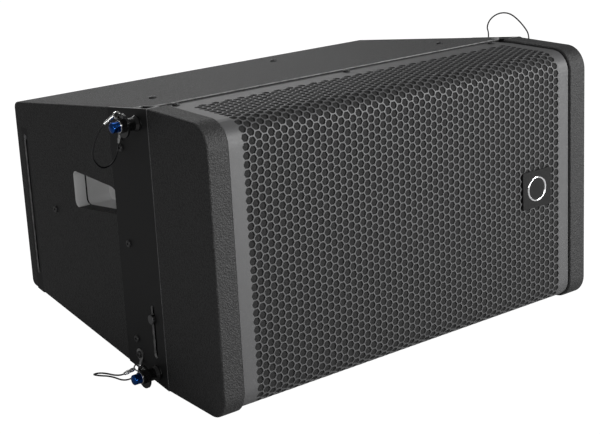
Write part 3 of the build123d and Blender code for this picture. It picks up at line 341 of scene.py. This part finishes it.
def moulding(name, colour, roughness, grain=1100, depth=0.00003):
    finish = Finish(name, colour, roughness)
    grit = finish.noise(grain, 2)
    tone = finish.noise(25, 2)
    finish.set("Base Color", finish.blend(tone, shade(colour, 0.88), shade(colour, 1.1)))
    finish.set("Roughness", roughness - 0.04 + grit * 0.1)
    finish.bump(grit, depth, 0.5)
    return finish


GRIP_BLACK = moulding("gloss_black", (0.008, 0.008, 0.008), 0.14, 300, 0.00001)
CUP_GREY = moulding("grey_moulding", (0.68, 0.68, 0.68), 0.55, 260, 0.0002)
HORN_BLACK = moulding("black_moulding", (0.02, 0.02, 0.02), 0.45)
BADGE_BLACK = moulding("badge_black", (0.008, 0.008, 0.008), 0.6)
BADGE_BLACK.set("Specular IOR Level", 0.2)
BOARD_GREEN = moulding("printed_board", (0.02, 0.12, 0.05), 0.4)
WINDING = moulding("wound_parts", (0.30, 0.16, 0.08), 0.5, 400)
RUBBER = moulding("surround_cloth", (0.02, 0.02, 0.02), 0.75, 1600)


def plywood():
    finish = Finish("birch_plywood", (0.52, 0.38, 0.22), 0.6)
    grain = finish.noise(40, 4, 0.6, (0.08, 1, 1))
    finish.set(
        "Base Color", finish.blend(grain, (0.40, 0.27, 0.15), (0.62, 0.47, 0.30))
    )
    finish.bump(grain, 0.0001, 0.4)
    return finish


def open_foam(name, colour):
    finish = Finish(name, colour, 0.95)
    pores = finish.cells(900)
    finish.set("Base Color", finish.blend(pores, shade(colour, 1.3), shade(colour, 0.5)))
    finish.bump(pores, 0.0004, 0.9)
    return finish


def pulp():
    finish = Finish("paper_pulp", (0.03, 0.03, 0.03), 0.8)
    fibres = finish.noise(500, 4, 0.7)
    finish.set("Base Color", finish.blend(fibres, (0.018, 0.018, 0.018), (0.05, 0.05, 0.05)))
    finish.bump(fibres, 0.0002, 0.6)
    return finish


PLYWOOD = plywood()
FOAM = open_foam("dark_foam", (0.016, 0.016, 0.016))
SPIDER = open_foam("resin_cloth", (0.42, 0.26, 0.12))
PULP = pulp()

LOOKS = {
    "coated_plywood": COATING,
    "bare_plywood": PLYWOOD,
    "grille_paint": GRILLE_PAINT,
    "foam": FOAM,
    "badge_plate": BADGE_BLACK,
    "rigging_paint": RIGGING_PAINT,
    "link_steel": LINK_STEEL,
    "cup_plastic": CUP_GREY,
    "screw_black": SCREW_BLACK,
    "pin_steel": PIN_STEEL,
    "grip_black": GRIP_BLACK,
    "button_blue": BUTTON_BLUE,
    "ferrule_metal": FERRULE_METAL,
    "lanyard_wire": GRIP_BLACK,
    "basket_metal": BASKET_METAL,
    "magnet_ferrite": FERRITE,
    "cone_paper": PULP,
    "coil_copper": COIL_COPPER,
    "cloth_spider": SPIDER,
    "surround_rubber": RUBBER,
    "horn_plastic": HORN_BLACK,
    "board_green": BOARD_GREEN,
    "component_mix": WINDING,
    "plate_paint": RIGGING_PAINT,
    "socket_plastic": HORN_BLACK,
}
for row in frame["record"]["subparts"]:
    data = NODES[row["node"]].data
    data.materials.clear()
    data.materials.append(LOOKS[row["material_slot"]].material)
NODES["lanyard_anchors"].data.materials[0] = ANCHOR_METAL.material
NODES["top_panel"].data.materials[0] = PANEL_COATING.material


# ------------------------------------------------------------------ mesh helpers
def new_piece(name, mesh, finish, smooth=40):
    mesh.name = name
    if finish:
        mesh.materials.clear()
        mesh.materials.append(finish.material)
    for face in mesh.polygons:
        face.use_smooth = True
    mesh.set_sharp_from_angle(angle=math.radians(smooth))
    piece = bpy.data.objects.new(name, mesh)
    scene.collection.objects.link(piece)
    return piece


def turned(name, finish, origin, axis, outline, steps=32, smooth=40):
    """A closed shape turned about an axis, from its half outline of (distance, radius) pairs."""
    work = bmesh.new()
    axis = Vector(axis).normalized()
    side = axis.orthogonal().normalized()
    other = axis.cross(side)
    rings = []
    for distance, radius in outline:
        middle = Vector(origin) + axis * distance
        if radius == 0:
            rings.append([work.verts.new(middle)])
            continue
        rings.append(
            [
                work.verts.new(
                    middle
                    + side * radius * math.cos(2 * math.pi * k / steps)
                    + other * radius * math.sin(2 * math.pi * k / steps)
                )
                for k in range(steps)
            ]
        )
    closed = outline[0][1] > 0
    pairs = list(zip(rings, rings[1:] + rings[:1] * closed))
    for ring, following in pairs[: len(rings) if closed else len(rings) - 1]:
        for k in range(steps):
            corners = []
            for group, index in (
                (ring, k), (ring, (k + 1) % steps), (following, (k + 1) % steps), (following, k)
            ):
                vertex = group[index % len(group)]
                if vertex not in corners:
                    corners.append(vertex)
            if len(corners) > 2:
                work.faces.new(corners)
    bmesh.ops.recalc_face_normals(work, faces=work.faces)
    mesh = bpy.data.meshes.new(name)
    work.to_mesh(mesh)
    work.free()
    return new_piece(name, mesh, finish, smooth)


# ------------------------------------------------------------------ lanyards
WIRE_RADIUS = 0.001
FERRULE_LENGTH = 0.014
LEAD = 0.007
# Each pin: the eye's place on its flange (depth, height), the way the pin's ferrule points and the
# way the plate's ferrule points (out, depth, height), then the wire's route: out from the plate,
# behind the pin and above it. Last, how far out the wire starts and ends its share of the pull.
LANYARDS = {
    ("left", "top"): (
        (0.6, 0.8), (0.68, 0.42, -0.6), (0.2, 0.1, -0.97),
        [(12, 42, -50), (28, 37, -56), (43, 30, -47), (51, 25, -31)],
        (6, 34),
    ),
    ("left", "bottom"): (
        (0.78, 0.62), (0.98, 0.04, -0.18), (0.6, -0.45, -0.66),
        [(30, 32, -13.5), (42, 43, -6.5), (60, 40, 0.5), (73.5, 30, 9.5), (67, 16, 14.5)],
        (12, 38),
    ),
    ("right", "top"): (
        (-0.97, -0.22), (0.25, 0.3, 0.92), (0.15, 0.05, 0.98),
        [(2, 45, 25), (5, 41, 37), (13, 31, 45.5), (22, 19, 45), (29.5, 8.5, 34.5), (34, -1, 22)],
        (5, 29),
    ),
    ("right", "bottom"): (
        (0.7, 0.71), (0.94, 0.1, 0.3), (0.6, -0.4, -0.69),
        [(29, 32, -13), (42, 42, -6), (58, 41, 6), (70, 30, 14), (66, 17, 18)],
        (12, 38),
    ),
}
EYE_OUT = 0.0223
EYE_ARM = 0.014
EYE_RADIUS = 0.0045
ANCHOR_DEPTH = 0.184
ANCHOR_FROM_PIN = 0.0102
ANCHOR_RING = 0.0075


def direction(side, out, depth, height):
    return Vector((SIDES[side] * out, depth, height)).normalized()


def smooth_line(points):
    """The centreline of a NURBS curve with these control points."""
    curve = bpy.data.curves.new("route", "CURVE")
    curve.dimensions = "3D"
    spline = curve.splines.new("NURBS")
    spline.points.add(len(points) - 1)
    for target, point in zip(spline.points, points):
        target.co = (*point, 1)
    spline.order_u = 3
    spline.use_endpoint_u = True
    spline.resolution_u = 8
    carrier = bpy.data.objects.new("route", curve)
    scene.collection.objects.link(carrier)
    mesh = bpy.data.meshes.new_from_object(
        carrier.evaluated_get(bpy.context.evaluated_depsgraph_get())
    )
    line = [vertex.co.copy() for vertex in mesh.vertices]
    bpy.data.objects.remove(carrier)
    bpy.data.meshes.remove(mesh)
    return line


def tube(name, line, radius, finish, steps=10):
    """A closed tube round a line, with its length and turn in its UV map."""
    work = bmesh.new()
    tangents = [
        (after - before).normalized()
        for before, after in zip(line[:1] + line[:-1], line[1:] + line[-1:])
    ]
    side = tangents[0].orthogonal().normalized()
    rings = []
    for point, tangent in zip(line, tangents):
        side = (side - tangent * side.dot(tangent)).normalized()
        other = tangent.cross(side)
        rings.append(
            [
                work.verts.new(
                    point
                    + side * radius * math.cos(2 * math.pi * k / steps)
                    + other * radius * math.sin(2 * math.pi * k / steps)
                )
                for k in range(steps)
            ]
        )
    layer = work.loops.layers.uv.new("wire")
    along = 0.0
    for index in range(len(rings) - 1):
        step = (line[index + 1] - line[index]).length
        for k in range(steps):
            face = work.faces.new(
                (
                    rings[index][k], rings[index][(k + 1) % steps],
                    rings[index + 1][(k + 1) % steps], rings[index + 1][k],
                )
            )
            spots = ((k, along), (k + 1, along), (k + 1, along + step), (k, along + step))
            for loop, (turn, length) in zip(face.loops, spots):
                loop[layer].uv = (turn / steps, length * 100)
        along += step
    work.faces.new(rings[0])
    work.faces.new(rings[-1])
    bmesh.ops.recalc_face_normals(work, faces=work.faces)
    mesh = bpy.data.meshes.new(name)
    work.to_mesh(mesh)
    work.free()
    return new_piece(name, mesh, finish, 60)


def coated_wire():
    """Dark plastic over a twisted wire rope, whose strands just show."""
    finish = Finish("coated_wire", (0.012, 0.012, 0.013), 0.3)
    spot = finish.node("ShaderNodeUVMap", {"uv_map": "wire"}).outputs[0]
    twist = finish.axis("X", spot) * 6 + finish.axis("Y", spot) * 2.2
    strands = finish.node("ShaderNodeMath", {"operation": "PINGPONG"}, {0: twist, 1: 0.5})
    ridge = Number(finish.tree, strands.outputs[0])
    finish.set(
        "Base Color", finish.blend(ridge, (0.008, 0.008, 0.009), (0.022, 0.022, 0.024))
    )
    finish.bump(ridge, 0.00012, 0.7)
    return finish


COATED_WIRE = coated_wire()


def crimp(name, start, way, finish, body):
    """Two raised bands pressed into a ferrule, joined by a thin rib."""
    outline = [(0.0019, 0.0017), (0.0022, 0.0024), (0.0048, 0.0025), (0.0052, 0.00215)]
    outline += [(0.0082, 0.00215), (0.0086, 0.0025), (0.0112, 0.0024), (0.0115, 0.0017)]
    bands = turned(name, finish, start, way, outline, 24, 35)
    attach(bands, body)


def make_lanyard(side, end):
    share, ferrule_way, anchor_way, route, (near, far) = LANYARDS[side, end]
    low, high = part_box(f"{side}_{end}_pin_button")
    pin_height = (low.z + high.z) / 2
    inward = 1 if end == "bottom" else -1
    eye = beside(side, EYE_OUT, PIN_DEPTH, pin_height)
    eye += Vector((0, *share)).normalized() * EYE_ARM
    ferrule_dir = direction(side, *ferrule_way)
    ferrule_start = eye + Vector((SIDES[side] * EYE_RADIUS, 0, 0))
    ferrule_end = ferrule_start + ferrule_dir * FERRULE_LENGTH
    anchor_dir = direction(side, *anchor_way)
    anchor = beside(side, 0, ANCHOR_DEPTH, pin_height + inward * ANCHOR_FROM_PIN)
    anchor_start = anchor + direction(side, 0, *anchor_way[1:]) * (ANCHOR_RING - 0.0008)
    anchor_start += Vector((SIDES[side] * 0.0012, 0, 0))
    anchor_end = anchor_start + anchor_dir * FERRULE_LENGTH
    points = [anchor_end, anchor_end + anchor_dir * LEAD]
    points += [
        beside(side, out / 1000, PIN_DEPTH + behind / 1000, pin_height + above / 1000)
        for out, behind, above in route
    ]
    points += [ferrule_end + ferrule_dir * LEAD, ferrule_end]
    line = smooth_line(points)
    name = f"{side}_{end}_wire"
    wire = tube(name, line, WIRE_RADIUS, COATED_WIRE)
    pin_body = f"{side}_{end}_pin"
    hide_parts(f"{side}_{end}_lanyard")
    beside(side, near / 1000, 0, 0)
    beside(side, far / 1000, 0, 0)
    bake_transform(wire)
    crimp(f"{pin_body}_crimps", ferrule_start, ferrule_dir, FERRULE_METAL, pin_body)
    crimp(f"{side}_{end}_anchor_crimps", anchor_start, anchor_dir, ANCHOR_METAL, "cabinet")


for pin in PINS:
    make_lanyard(*pin)


# ------------------------------------------------------------------ perforated grille
PITCH = 0.01015           # between the middles of two holes in a column
WEB = 0.00125
SHEET = 0.0015
COLUMNS = 56
BEND = 0.026
SEAM_DEPTH = GRILLE_HIGH.y - FRONT


def sheet_profile():
    """The outside of the bent sheet, from the bottom seam round the front to the top seam."""
    inset = GRILLE_LOW.y - FRONT
    low, high = GRILLE_LOW.z, GRILLE_HIGH.z
    rise = (SEAM_DEPTH - WEDGE_START) * SLOPE
    points = [(SEAM_DEPTH, low + rise), (WEDGE_START, low)]
    for step in range(17):
        angle = math.pi / 2 * step / 16
        points.append(
            (inset + BEND * (1 - math.sin(angle)), low + BEND * (1 - math.cos(angle)))
        )
    points += [(depth, low + high - height) for depth, height in reversed(points)]
    return [at(0, *point) for point in points]


def perforated_sheet_tree():
    tree = bpy.data.node_groups.new("perforated_sheet", "GeometryNodeTree")
    tree.interface.new_socket("Profile", in_out="INPUT", socket_type="NodeSocketGeometry")
    sizes = {
        "Pitch": PITCH, "Web": WEB, "Columns": COLUMNS, "Rows": 10, "Width": 0.5, "Start": 0.0,
        "Lead In": 0.0, "Lead Out": 0.0, "Thickness": SHEET,
    }
    for name, value in sizes.items():
        kind = "NodeSocketInt" if isinstance(value, int) else "NodeSocketFloat"
        tree.interface.new_socket(name, in_out="INPUT", socket_type=kind).default_value = value
    tree.interface.new_socket("Finish", in_out="INPUT", socket_type="NodeSocketMaterial")
    tree.interface.new_socket("Sheet", in_out="OUTPUT", socket_type="NodeSocketGeometry")
    given = tree.nodes.new("NodeGroupInput").outputs

    def n(value):
        return Number(tree, value)

    def node(kind, settings=None, inputs=None):
        return add_node(tree, kind, settings, inputs)

    def vector(x, y, z=0.0):
        return node("ShaderNodeCombineXYZ", None, {0: x, 1: y, 2: z}).outputs[0]

    def function(operation, *terms):
        return n(given[1]).math(operation, *terms)

    def move(mesh, position, selection=True):
        inputs = {"Geometry": mesh, "Position": position, "Selection": selection}
        return node("GeometryNodeSetPosition", None, inputs).outputs[0]

    def grid(across, along):
        made = node("GeometryNodeMeshGrid", None, {"Vertices X": across, "Vertices Y": along})
        return made.outputs[0]

    pitch, web, columns, rows = (n(given[k]) for k in ("Pitch", "Web", "Columns", "Rows"))
    width, start, lead_in, lead_out = (
        n(given[k]) for k in ("Width", "Start", "Lead In", "Lead Out")
    )
    index = n(node("GeometryNodeInputIndex").outputs[0])
    corner = pitch / math.sqrt(3)             # from a cell's middle to its corner
    column_step = pitch * (math.sqrt(3) / 2)
    half_span = (columns - 1) * column_step * 0.5
    sixth = math.pi / 3

    # one cell: a hexagonal hole with eased corners inside a hexagon
    ease = math.radians(9)
    ring = node("GeometryNodeMeshCircle", {"fill_type": "NONE"}, {"Vertices": 12}).outputs[0]
    angle = function("FLOOR", index / 2) * sixth + ((index % 2) * 2 - 1) * ease
    hole = (pitch - web) * (0.5 / math.cos(math.pi / 6 - ease))
    ring = move(
        ring, vector(hole * function("COSINE", angle), hole * function("SINE", angle))
    )
    widened = node(
        "GeometryNodeExtrudeMesh", {"mode": "EDGES"}, {"Mesh": ring, "Offset Scale": 0.0}
    )
    place = node("ShaderNodeSeparateXYZ", None, {0: node("GeometryNodeInputPosition").outputs[0]})
    here_x, here_y, here_z = (n(socket) for socket in place.outputs)
    turn = function("ROUND", function("ARCTAN2", here_y, here_x) / sixth) * sixth
    cell = move(
        widened.outputs["Mesh"],
        vector(corner * function("COSINE", turn), corner * function("SINE", turn)),
        widened.outputs["Top"],
    )

    # the cells in their columns, every second column half a pitch further on
    column = function("FLOOR", index / rows)
    lattice = move(
        grid(columns.socket, rows.socket),
        vector(
            column * column_step - half_span,
            start + (index % rows + 0.5 + (column % 2) * 0.5) * pitch,
        ),
    )
    cells = node("GeometryNodeInstanceOnPoints", None, {"Points": lattice, "Instance": cell})
    flat = [node("GeometryNodeRealizeInstances", None, {0: cells.outputs[0]}).outputs[0]]

    # plain margins on both sides, fitted to the cells' corners
    steps = rows * 2
    for sign, shift in ((-1, 0.0), (1, (columns - 1) % 2 * 0.5)):
        outer = function("FLOOR", index / (steps + 3)) < 0.5
        j = index % (steps + 3) - 1
        inside = (j > -0.5) * (j < steps + 0.5)
        pointed = (j % 2 > 0.5) * inside
        inner_x = half_span + corner * (0.5 + pointed * 0.5)
        x = outer * (width * 0.5) + (1 - outer) * inner_x
        half_pitches = function("MAXIMUM", function("MINIMUM", j, steps), 0.0)
        along = start + (half_pitches * 0.5 + shift) * pitch
        lead = (j < -0.5) * (lead_in > 0) * (lead_in + shift * pitch)
        tail = (j > steps + 0.5) * (lead_out > 0) * (lead_out - shift * pitch)
        flat.append(move(grid(2, (steps + 3).socket), vector(x * sign, along - lead + tail)))

    # plain ends before the first cells and after the last
    for base, length, sign in ((0.0, lead_in, -1), (rows, lead_out, 1)):
        post = function("FLOOR", index / 2)
        column = function("FLOOR", post / 2)
        x = column * column_step - half_span + ((post % 2) - 0.5) * corner
        edge = start + (base + (column % 2) * 0.5) * pitch
        far = start + base * pitch + length * sign
        outer = index % 2
        strip = move(
            grid((columns * 2).socket, 2), vector(x, edge * (1 - outer) + far * outer)
        )
        chosen = node(
            "GeometryNodeSwitch",
            {"input_type": "GEOMETRY"},
            {"Switch": (length > 0).socket, "True": strip},
        )
        flat.append(chosen.outputs[0])

    joined = node("GeometryNodeJoinGeometry")
    for part in reversed(flat):
        tree.links.new(part, joined.inputs[0])
    front = node("GeometryNodeMergeByDistance", None, {0: joined.outputs[0], "Distance": 0.00002})
    back = node(
        "GeometryNodeExtrudeMesh",
        {"mode": "FACES"},
        {
            "Mesh": front.outputs[0], "Individual": False, "Offset Scale": 1.0,
            "Offset": vector(0.0, 0.0, n(given["Thickness"]) * -1),
        },
    )
    shell = node("GeometryNodeJoinGeometry")
    for part in (front.outputs[0], back.outputs["Mesh"]):
        tree.links.new(part, shell.inputs[0])
    shell = node("GeometryNodeMergeByDistance", None, {0: shell.outputs[0], "Distance": 0.00002})

    # the flat sheet bent round its profile
    profile = node("GeometryNodeMeshToCurve", None, {0: given["Profile"]})
    sample = node(
        "GeometryNodeSampleCurve",
        {"mode": "LENGTH", "use_all_curves": True},
        {"Curves": profile.outputs[0], "Length": here_y},
    )
    outwards = node(
        "ShaderNodeVectorMath",
        {"operation": "CROSS_PRODUCT"},
        {0: (1.0, 0.0, 0.0), 1: sample.outputs["Tangent"]},
    )
    lifted = node(
        "ShaderNodeVectorMath",
        {"operation": "MULTIPLY_ADD"},
        {0: outwards.outputs[0], 1: vector(here_z, here_z, here_z), 2: sample.outputs["Position"]},
    )
    bent = node(
        "ShaderNodeVectorMath", {"operation": "ADD"}, {0: lifted.outputs[0], 1: vector(here_x, 0.0)}
    )
    sheet = move(shell.outputs[0], bent.outputs[0])
    real = node("GeometryNodeRealizeInstances", None, {0: sheet})
    finished = node(
        "GeometryNodeSetMaterial", None, {"Geometry": real.outputs[0], "Material": given["Finish"]}
    )
    tree.links.new(finished.outputs[0], tree.nodes.new("NodeGroupOutput").inputs[0])
    return tree


def grow(name, base_mesh, tree, inputs, finish, smooth=40):
    """Runs a tree on a mesh and keeps the result as a plain piece."""
    carrier = bpy.data.objects.new(f"{name}_base", base_mesh)
    scene.collection.objects.link(carrier)
    modifier = carrier.modifiers.new("nodes", "NODES")
    modifier.node_group = tree
    for item in tree.interface.items_tree:
        if item.in_out == "INPUT" and item.name in inputs:
            modifier[item.identifier] = inputs[item.name]
        if item.in_out == "INPUT" and item.name == "Finish":
            modifier[item.identifier] = finish.material
    mesh = bpy.data.meshes.new_from_object(
        carrier.evaluated_get(bpy.context.evaluated_depsgraph_get())
    )
    carrier.modifiers.remove(modifier)
    bpy.data.objects.remove(carrier)
    work = bmesh.new()
    work.from_mesh(mesh)
    bmesh.ops.recalc_face_normals(work, faces=work.faces)
    work.to_mesh(mesh)
    work.free()
    return new_piece(name, mesh, finish, smooth)


def make_grille():
    points = sheet_profile()
    base = bpy.data.meshes.new("sheet_profile")
    base.from_pydata(points, [(k, k + 1) for k in range(len(points) - 1)], [])
    total = sum((b - a).length for a, b in zip(points, points[1:]))
    tree = perforated_sheet_tree()
    width = GRILLE_HIGH.x - GRILLE_LOW.x
    end_margin = 0.030
    rows = int((total - 2 * end_margin) / PITCH - 0.5)
    lead = (total - (rows + 0.5) * PITCH) / 2
    wrap_rows = 8
    parts = {
        "grille_bottom": (0, wrap_rows, lead, 0.0),
        "grille_front": (wrap_rows, rows - 2 * wrap_rows, 0.0, 0.0),
        "grille_top": (rows - wrap_rows, wrap_rows, 0.0, lead + PITCH / 2),
    }
    for name, (first, count, lead_in, lead_out) in parts.items():
        piece = grow(
            name,
            base,
            tree,
            {
                "Rows": count, "Width": width, "Start": lead + first * PITCH,
                "Lead In": lead_in, "Lead Out": lead_out,
            },
            GRILLE_PAINT,
        )
        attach(piece, "cabinet")
        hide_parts("grille")


make_grille()


# ------------------------------------------------------------------ foam behind the grille
FOAM_THICKNESS = 0.0078
FOAM_SPANS = 48


def make_foam():
    """One soft sheet pressed against the grille, wrapped over its top and its bottom."""
    low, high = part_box("grille_foam")
    gap = low.y - GRILLE_LOW.y
    outer = []
    for point in sheet_profile():
        depth, height = point.y - FRONT, point.z
        towards = Vector((max(GRILLE_LOW.y - FRONT + BEND - depth, 0.0), 0.0))
        rise = (BEND - (height - GRILLE_LOW.z), BEND - (GRILLE_HIGH.z - height))
        towards.y = max(rise[0], 0.0) - max(rise[1], 0.0)
        way = towards.normalized() if towards.length else Vector((1.0, 0.0))
        outer.append((depth, height, way))
    work = bmesh.new()
    layer_rows = []
    for depth, height, way in outer:
        if at(0, depth, height).y > high.y:
            continue
        for offset in (gap, gap + FOAM_THICKNESS):
            layer_rows.append((depth + way.x * offset, height + way.y * offset, offset == gap))
    front = [row for row in layer_rows if row[2]]
    back = [row for row in layer_rows if not row[2]]
    loop = front + back[::-1]
    rings = []
    for step in range(FOAM_SPANS + 1):
        x = low.x + (high.x - low.x) * step / FOAM_SPANS
        rings.append([work.verts.new(at(x, depth, height)) for depth, height, _ in loop])
    count = len(loop)
    for ring, following in zip(rings, rings[1:]):
        for k in range(count):
            after = (k + 1) % count
            work.faces.new((ring[k], ring[after], following[after], following[k]))
    for ring in (rings[0], rings[-1]):
        half = count // 2
        for k in range(half - 1):
            work.faces.new((ring[k], ring[k + 1], ring[count - 2 - k], ring[count - 1 - k]))
    bmesh.ops.recalc_face_normals(work, faces=work.faces)
    mesh = bpy.data.meshes.new("foam_liner")
    work.to_mesh(mesh)
    work.free()
    foam = new_piece("foam_liner", mesh, FOAM)
    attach(foam, "cabinet")
    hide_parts("grille_foam")


make_foam()


# ------------------------------------------------------------------ handle windows
LINING_GAP = 0.0002       # between the wood's cut edge and the lip
LINING_FACE = 0.0015


def window_back():
    """Depth and height along the window's back edge and round its two corners, upwards."""
    corners = [
        (0.300, MIDDLE + 0.0177, 0.0), (0.322, MIDDLE + 0.015, 0.008),
        (0.322, MIDDLE + 0.0635, 0.008), (0.300, MIDDLE + 0.0631, 0.0),
    ]
    outline = []
    for k, (depth, height, radius) in enumerate(corners):
        here = Vector((depth, height))
        if not radius:
            continue
        before = (Vector(corners[k - 1][:2]) - here).normalized()
        after = (Vector(corners[(k + 1) % 4][:2]) - here).normalized()
        half_turn = before.angle(after) / 2
        middle = here + (before + after).normalized() * radius / math.sin(half_turn)
        reach = radius / math.tan(half_turn)
        first, last = here + before * reach - middle, here + after * reach - middle
        sweep = first.angle_signed(last)
        for step in range(9):
            turn = -sweep * step / 8
            outline.append(
                middle
                + Vector(
                    (
                        first.x * math.cos(turn) - first.y * math.sin(turn),
                        first.x * math.sin(turn) + first.y * math.cos(turn),
                    )
                )
            )
    return outline


def make_window_lining(side):
    """A thin moulded lip that covers the plywood's cut edge at the back of the window."""
    outline = window_back()
    middle = Vector((0.26, MIDDLE + 0.04))
    sign = SIDES[side]
    outer_x, inner_x = HALF_WIDTH - 0.0004, HALF_WIDTH - 0.0152
    band = (
        (outer_x, LINING_GAP), (outer_x, 0.0011), (outer_x - 0.0006, LINING_FACE),
        (inner_x, LINING_FACE), (inner_x, LINING_GAP),
    )
    work = bmesh.new()
    rings = []
    count = len(outline)
    for k, point in enumerate(outline):
        along = (outline[min(k + 1, count - 1)] - outline[max(k - 1, 0)]).normalized()
        inward = Vector((-along.y, along.x))
        if inward.dot(middle - point) < 0:
            inward = -inward
        rings.append([work.verts.new(at(sign * x, *(point + inward * inset))) for x, inset in band])
    for ring, following in zip(rings, rings[1:]):
        for k in range(len(band)):
            after = (k + 1) % len(band)
            work.faces.new((ring[k], ring[after], following[after], following[k]))
    work.faces.new(rings[0])
    work.faces.new(rings[-1])
    bmesh.ops.recalc_face_normals(work, faces=work.faces)
    mesh = bpy.data.meshes.new(f"{side}_window_lining")
    work.to_mesh(mesh)
    work.free()
    lining = new_piece(f"{side}_window_lining", mesh, CUP_GREY, 50)
    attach(lining, "cabinet")


for hand in SIDES:
    make_window_lining(hand)


# ------------------------------------------------------------------ woofer's soft parts
SPIDER_HOLE = 0.0387
ROLL_RADIUS = 0.0053
ROLL_WALL = 0.0011


def make_woofer_softs():
    """The ribbed half roll round the cone, and the corrugated cloth that centres the coil."""
    for node, name, finish, slot in (
        ("woofer_surround", "surround_roll", RUBBER, "surround_rubber"),
        ("woofer_spider", "corrugated_spider", SPIDER, "cloth_spider"),
    ):
        low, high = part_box(node)
        outer = (high.x - low.x) / 2
        middle = Vector(((low.x + high.x) / 2, low.y, (low.z + high.z) / 2))
        front, back = [], []
        for step in range(49):
            share = step / 48
            if node == "woofer_spider":
                wave = 0.0011 * math.sin(12 * math.pi * share)
                radius = SPIDER_HOLE + (outer - 0.0003 - SPIDER_HOLE) * share
                front.append((0.00075 + wave - 0.0003, radius))
                back.append((0.00075 + wave + 0.0003, radius))
            else:
                turn = math.pi * share
                roll = (high.y - low.y) * (1 - math.sin(turn)) + 0.0002 * math.sin(14 * turn)
                depth = max(roll, 0.0001)
                centre = outer - ROLL_RADIUS - 0.0002
                front.append((depth, centre - ROLL_RADIUS * math.cos(turn)))
                back.append(
                    (
                        depth + ROLL_WALL * abs(math.sin(turn)) + 0.0001,
                        centre - (ROLL_RADIUS - ROLL_WALL) * math.cos(turn),
                    )
                )
        piece = turned(name, finish, middle, (0, 1, 0), front + back[::-1], 72, 50)
        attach(piece, "cabinet")
        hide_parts(node)


make_woofer_softs()


# ------------------------------------------------------------------ badge
BADGE_RING = 0.0155
BEAD = 0.0011


def make_badge_ring():
    """A plain bright ring on the square plate."""
    low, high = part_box("badge")
    middle = (low + high) / 2
    outline = []
    for k in range(12):
        turn = math.pi * k / 6
        rise = BEAD * math.cos(turn) * 0.9 - 0.0001
        outline.append((max(rise, -0.0001), BADGE_RING + BEAD * 1.3 * math.sin(turn)))
    ring = turned(
        "badge_ring", CHROME, Vector((middle.x, low.y, middle.z)), (0, -1, 0), outline, 64, 50
    )
    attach(ring, "cabinet")


make_badge_ring()


# ------------------------------------------------------------------ locking pins
def make_pin_details(side, end):
    low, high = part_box(f"{side}_{end}_pin_button")
    middle = (low + high) / 2
    axis = Vector((SIDES[side], 0, 0))
    radius = (high.z - low.z) / 2
    length = high.x - low.x
    origin = Vector((middle.x, middle.y, middle.z)) - axis * length / 2
    crown = []
    for k in range(8, -1, -1):
        turn = math.pi / 2 * k / 8
        crown.append((length - 0.0022 * (1 - math.cos(turn)), radius * math.sin(turn)))
    outline = [
        (0, 0), (0, radius), (length - 0.0075, radius), (length - 0.0072, radius - 0.0005),
        (length - 0.0064, radius - 0.0005), (length - 0.0061, radius),
    ]
    button = turned(f"{side}_{end}_button_cap", BUTTON_BLUE, origin, axis, outline + crown, 40, 35)
    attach(button, f"{side}_{end}_button")
    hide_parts(f"{side}_{end}_pin_button")
    lip = Vector((SIDES[side] * (HALF_WIDTH + GRIP_OUT), middle.y, middle.z))
    ring = [
        (0, 0.0065), (0.0004, 0.0065), (0.0006, 0.0067),
        (0.0006, 0.0071), (0.0004, 0.0073), (0, 0.0073),
    ]
    bezel = turned(f"{side}_{end}_button_bezel", CHROME, lip, axis, ring, 40, 35)
    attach(bezel, f"{side}_{end}_pin")


for pin in PINS:
    make_pin_details(*pin)


# ------------------------------------------------------------------ studio
def area_light(name, place, target, size, power, shape_y=None):
    data = bpy.data.lights.new(name, "AREA")
    data.shape = "RECTANGLE"
    data.size, data.size_y = size, shape_y or size
    data.energy = power
    light = bpy.data.objects.new(name, data)
    scene.collection.objects.link(light)
    light.location = place
    light.rotation_mode = "QUATERNION"
    light.rotation_quaternion = (Vector(target) - Vector(place)).to_track_quat("-Z", "Y")


def set_studio():
    world = bpy.data.worlds.new("studio")
    scene.world = world
    world.use_nodes = True
    tree = world.node_tree
    tree.nodes.clear()
    seen = add_node(tree, "ShaderNodeBackground", None, {0: (1, 1, 1, 1), 1: 1.0})
    light = add_node(tree, "ShaderNodeBackground", None, {0: (1, 1, 1, 1), 1: 0.165})
    path = add_node(tree, "ShaderNodeLightPath")
    mix = add_node(
        tree,
        "ShaderNodeMixShader",
        None,
        {0: path.outputs["Is Camera Ray"], 1: light.outputs[0], 2: seen.outputs[0]},
    )
    out = add_node(tree, "ShaderNodeOutputWorld")
    tree.links.new(mix.outputs[0], out.inputs[0])
    scene.view_settings.view_transform = "Standard"
    area_light("key", (1.4, -1.9, 1.25), (0, -0.1, 0.2), 0.6, 40)
    area_light("front_card", (1.0, -2.3, 0.2), (0, -0.2, 0.17), 1.8, 34, 0.4)
    area_light("back_card", (0.7, 2.1, 1.35), (0, 0.1, 0.3), 1.8, 9, 0.8)
    area_light("top", (0.2, 0.9, 2.3), (0, 0.1, 0.3), 1.2, 8)
    area_light("fill", (-2.2, -1.2, 1.0), (0, 0, 0.15), 0.8, 9)
    floor = Finish("pale_floor", (0.6, 0.6, 0.6), 0.8)
    path = floor.node("ShaderNodeLightPath").outputs["Is Camera Ray"]
    glow = floor.node("ShaderNodeEmission", None, {"Color": (1, 1, 1, 1), "Strength": 1.2})
    mixed = floor.node(
        "ShaderNodeMixShader",
        None,
        {0: Number(floor.tree, path) * 0.85, 1: floor.shader.outputs[0], 2: glow.outputs[0]},
    )
    floor.tree.links.new(mixed.outputs[0], floor.tree.nodes["Material Output"].inputs[0])
    mesh = bpy.data.meshes.new("studio_floor")
    reach = 30
    corners = ((-reach, -reach), (reach, -reach), (reach, reach), (-reach, reach))
    mesh.from_pydata([(*corner, -0.0005) for corner in corners], [], [(0, 1, 2, 3)])
    new_piece("studio_floor", mesh, floor)


set_studio()
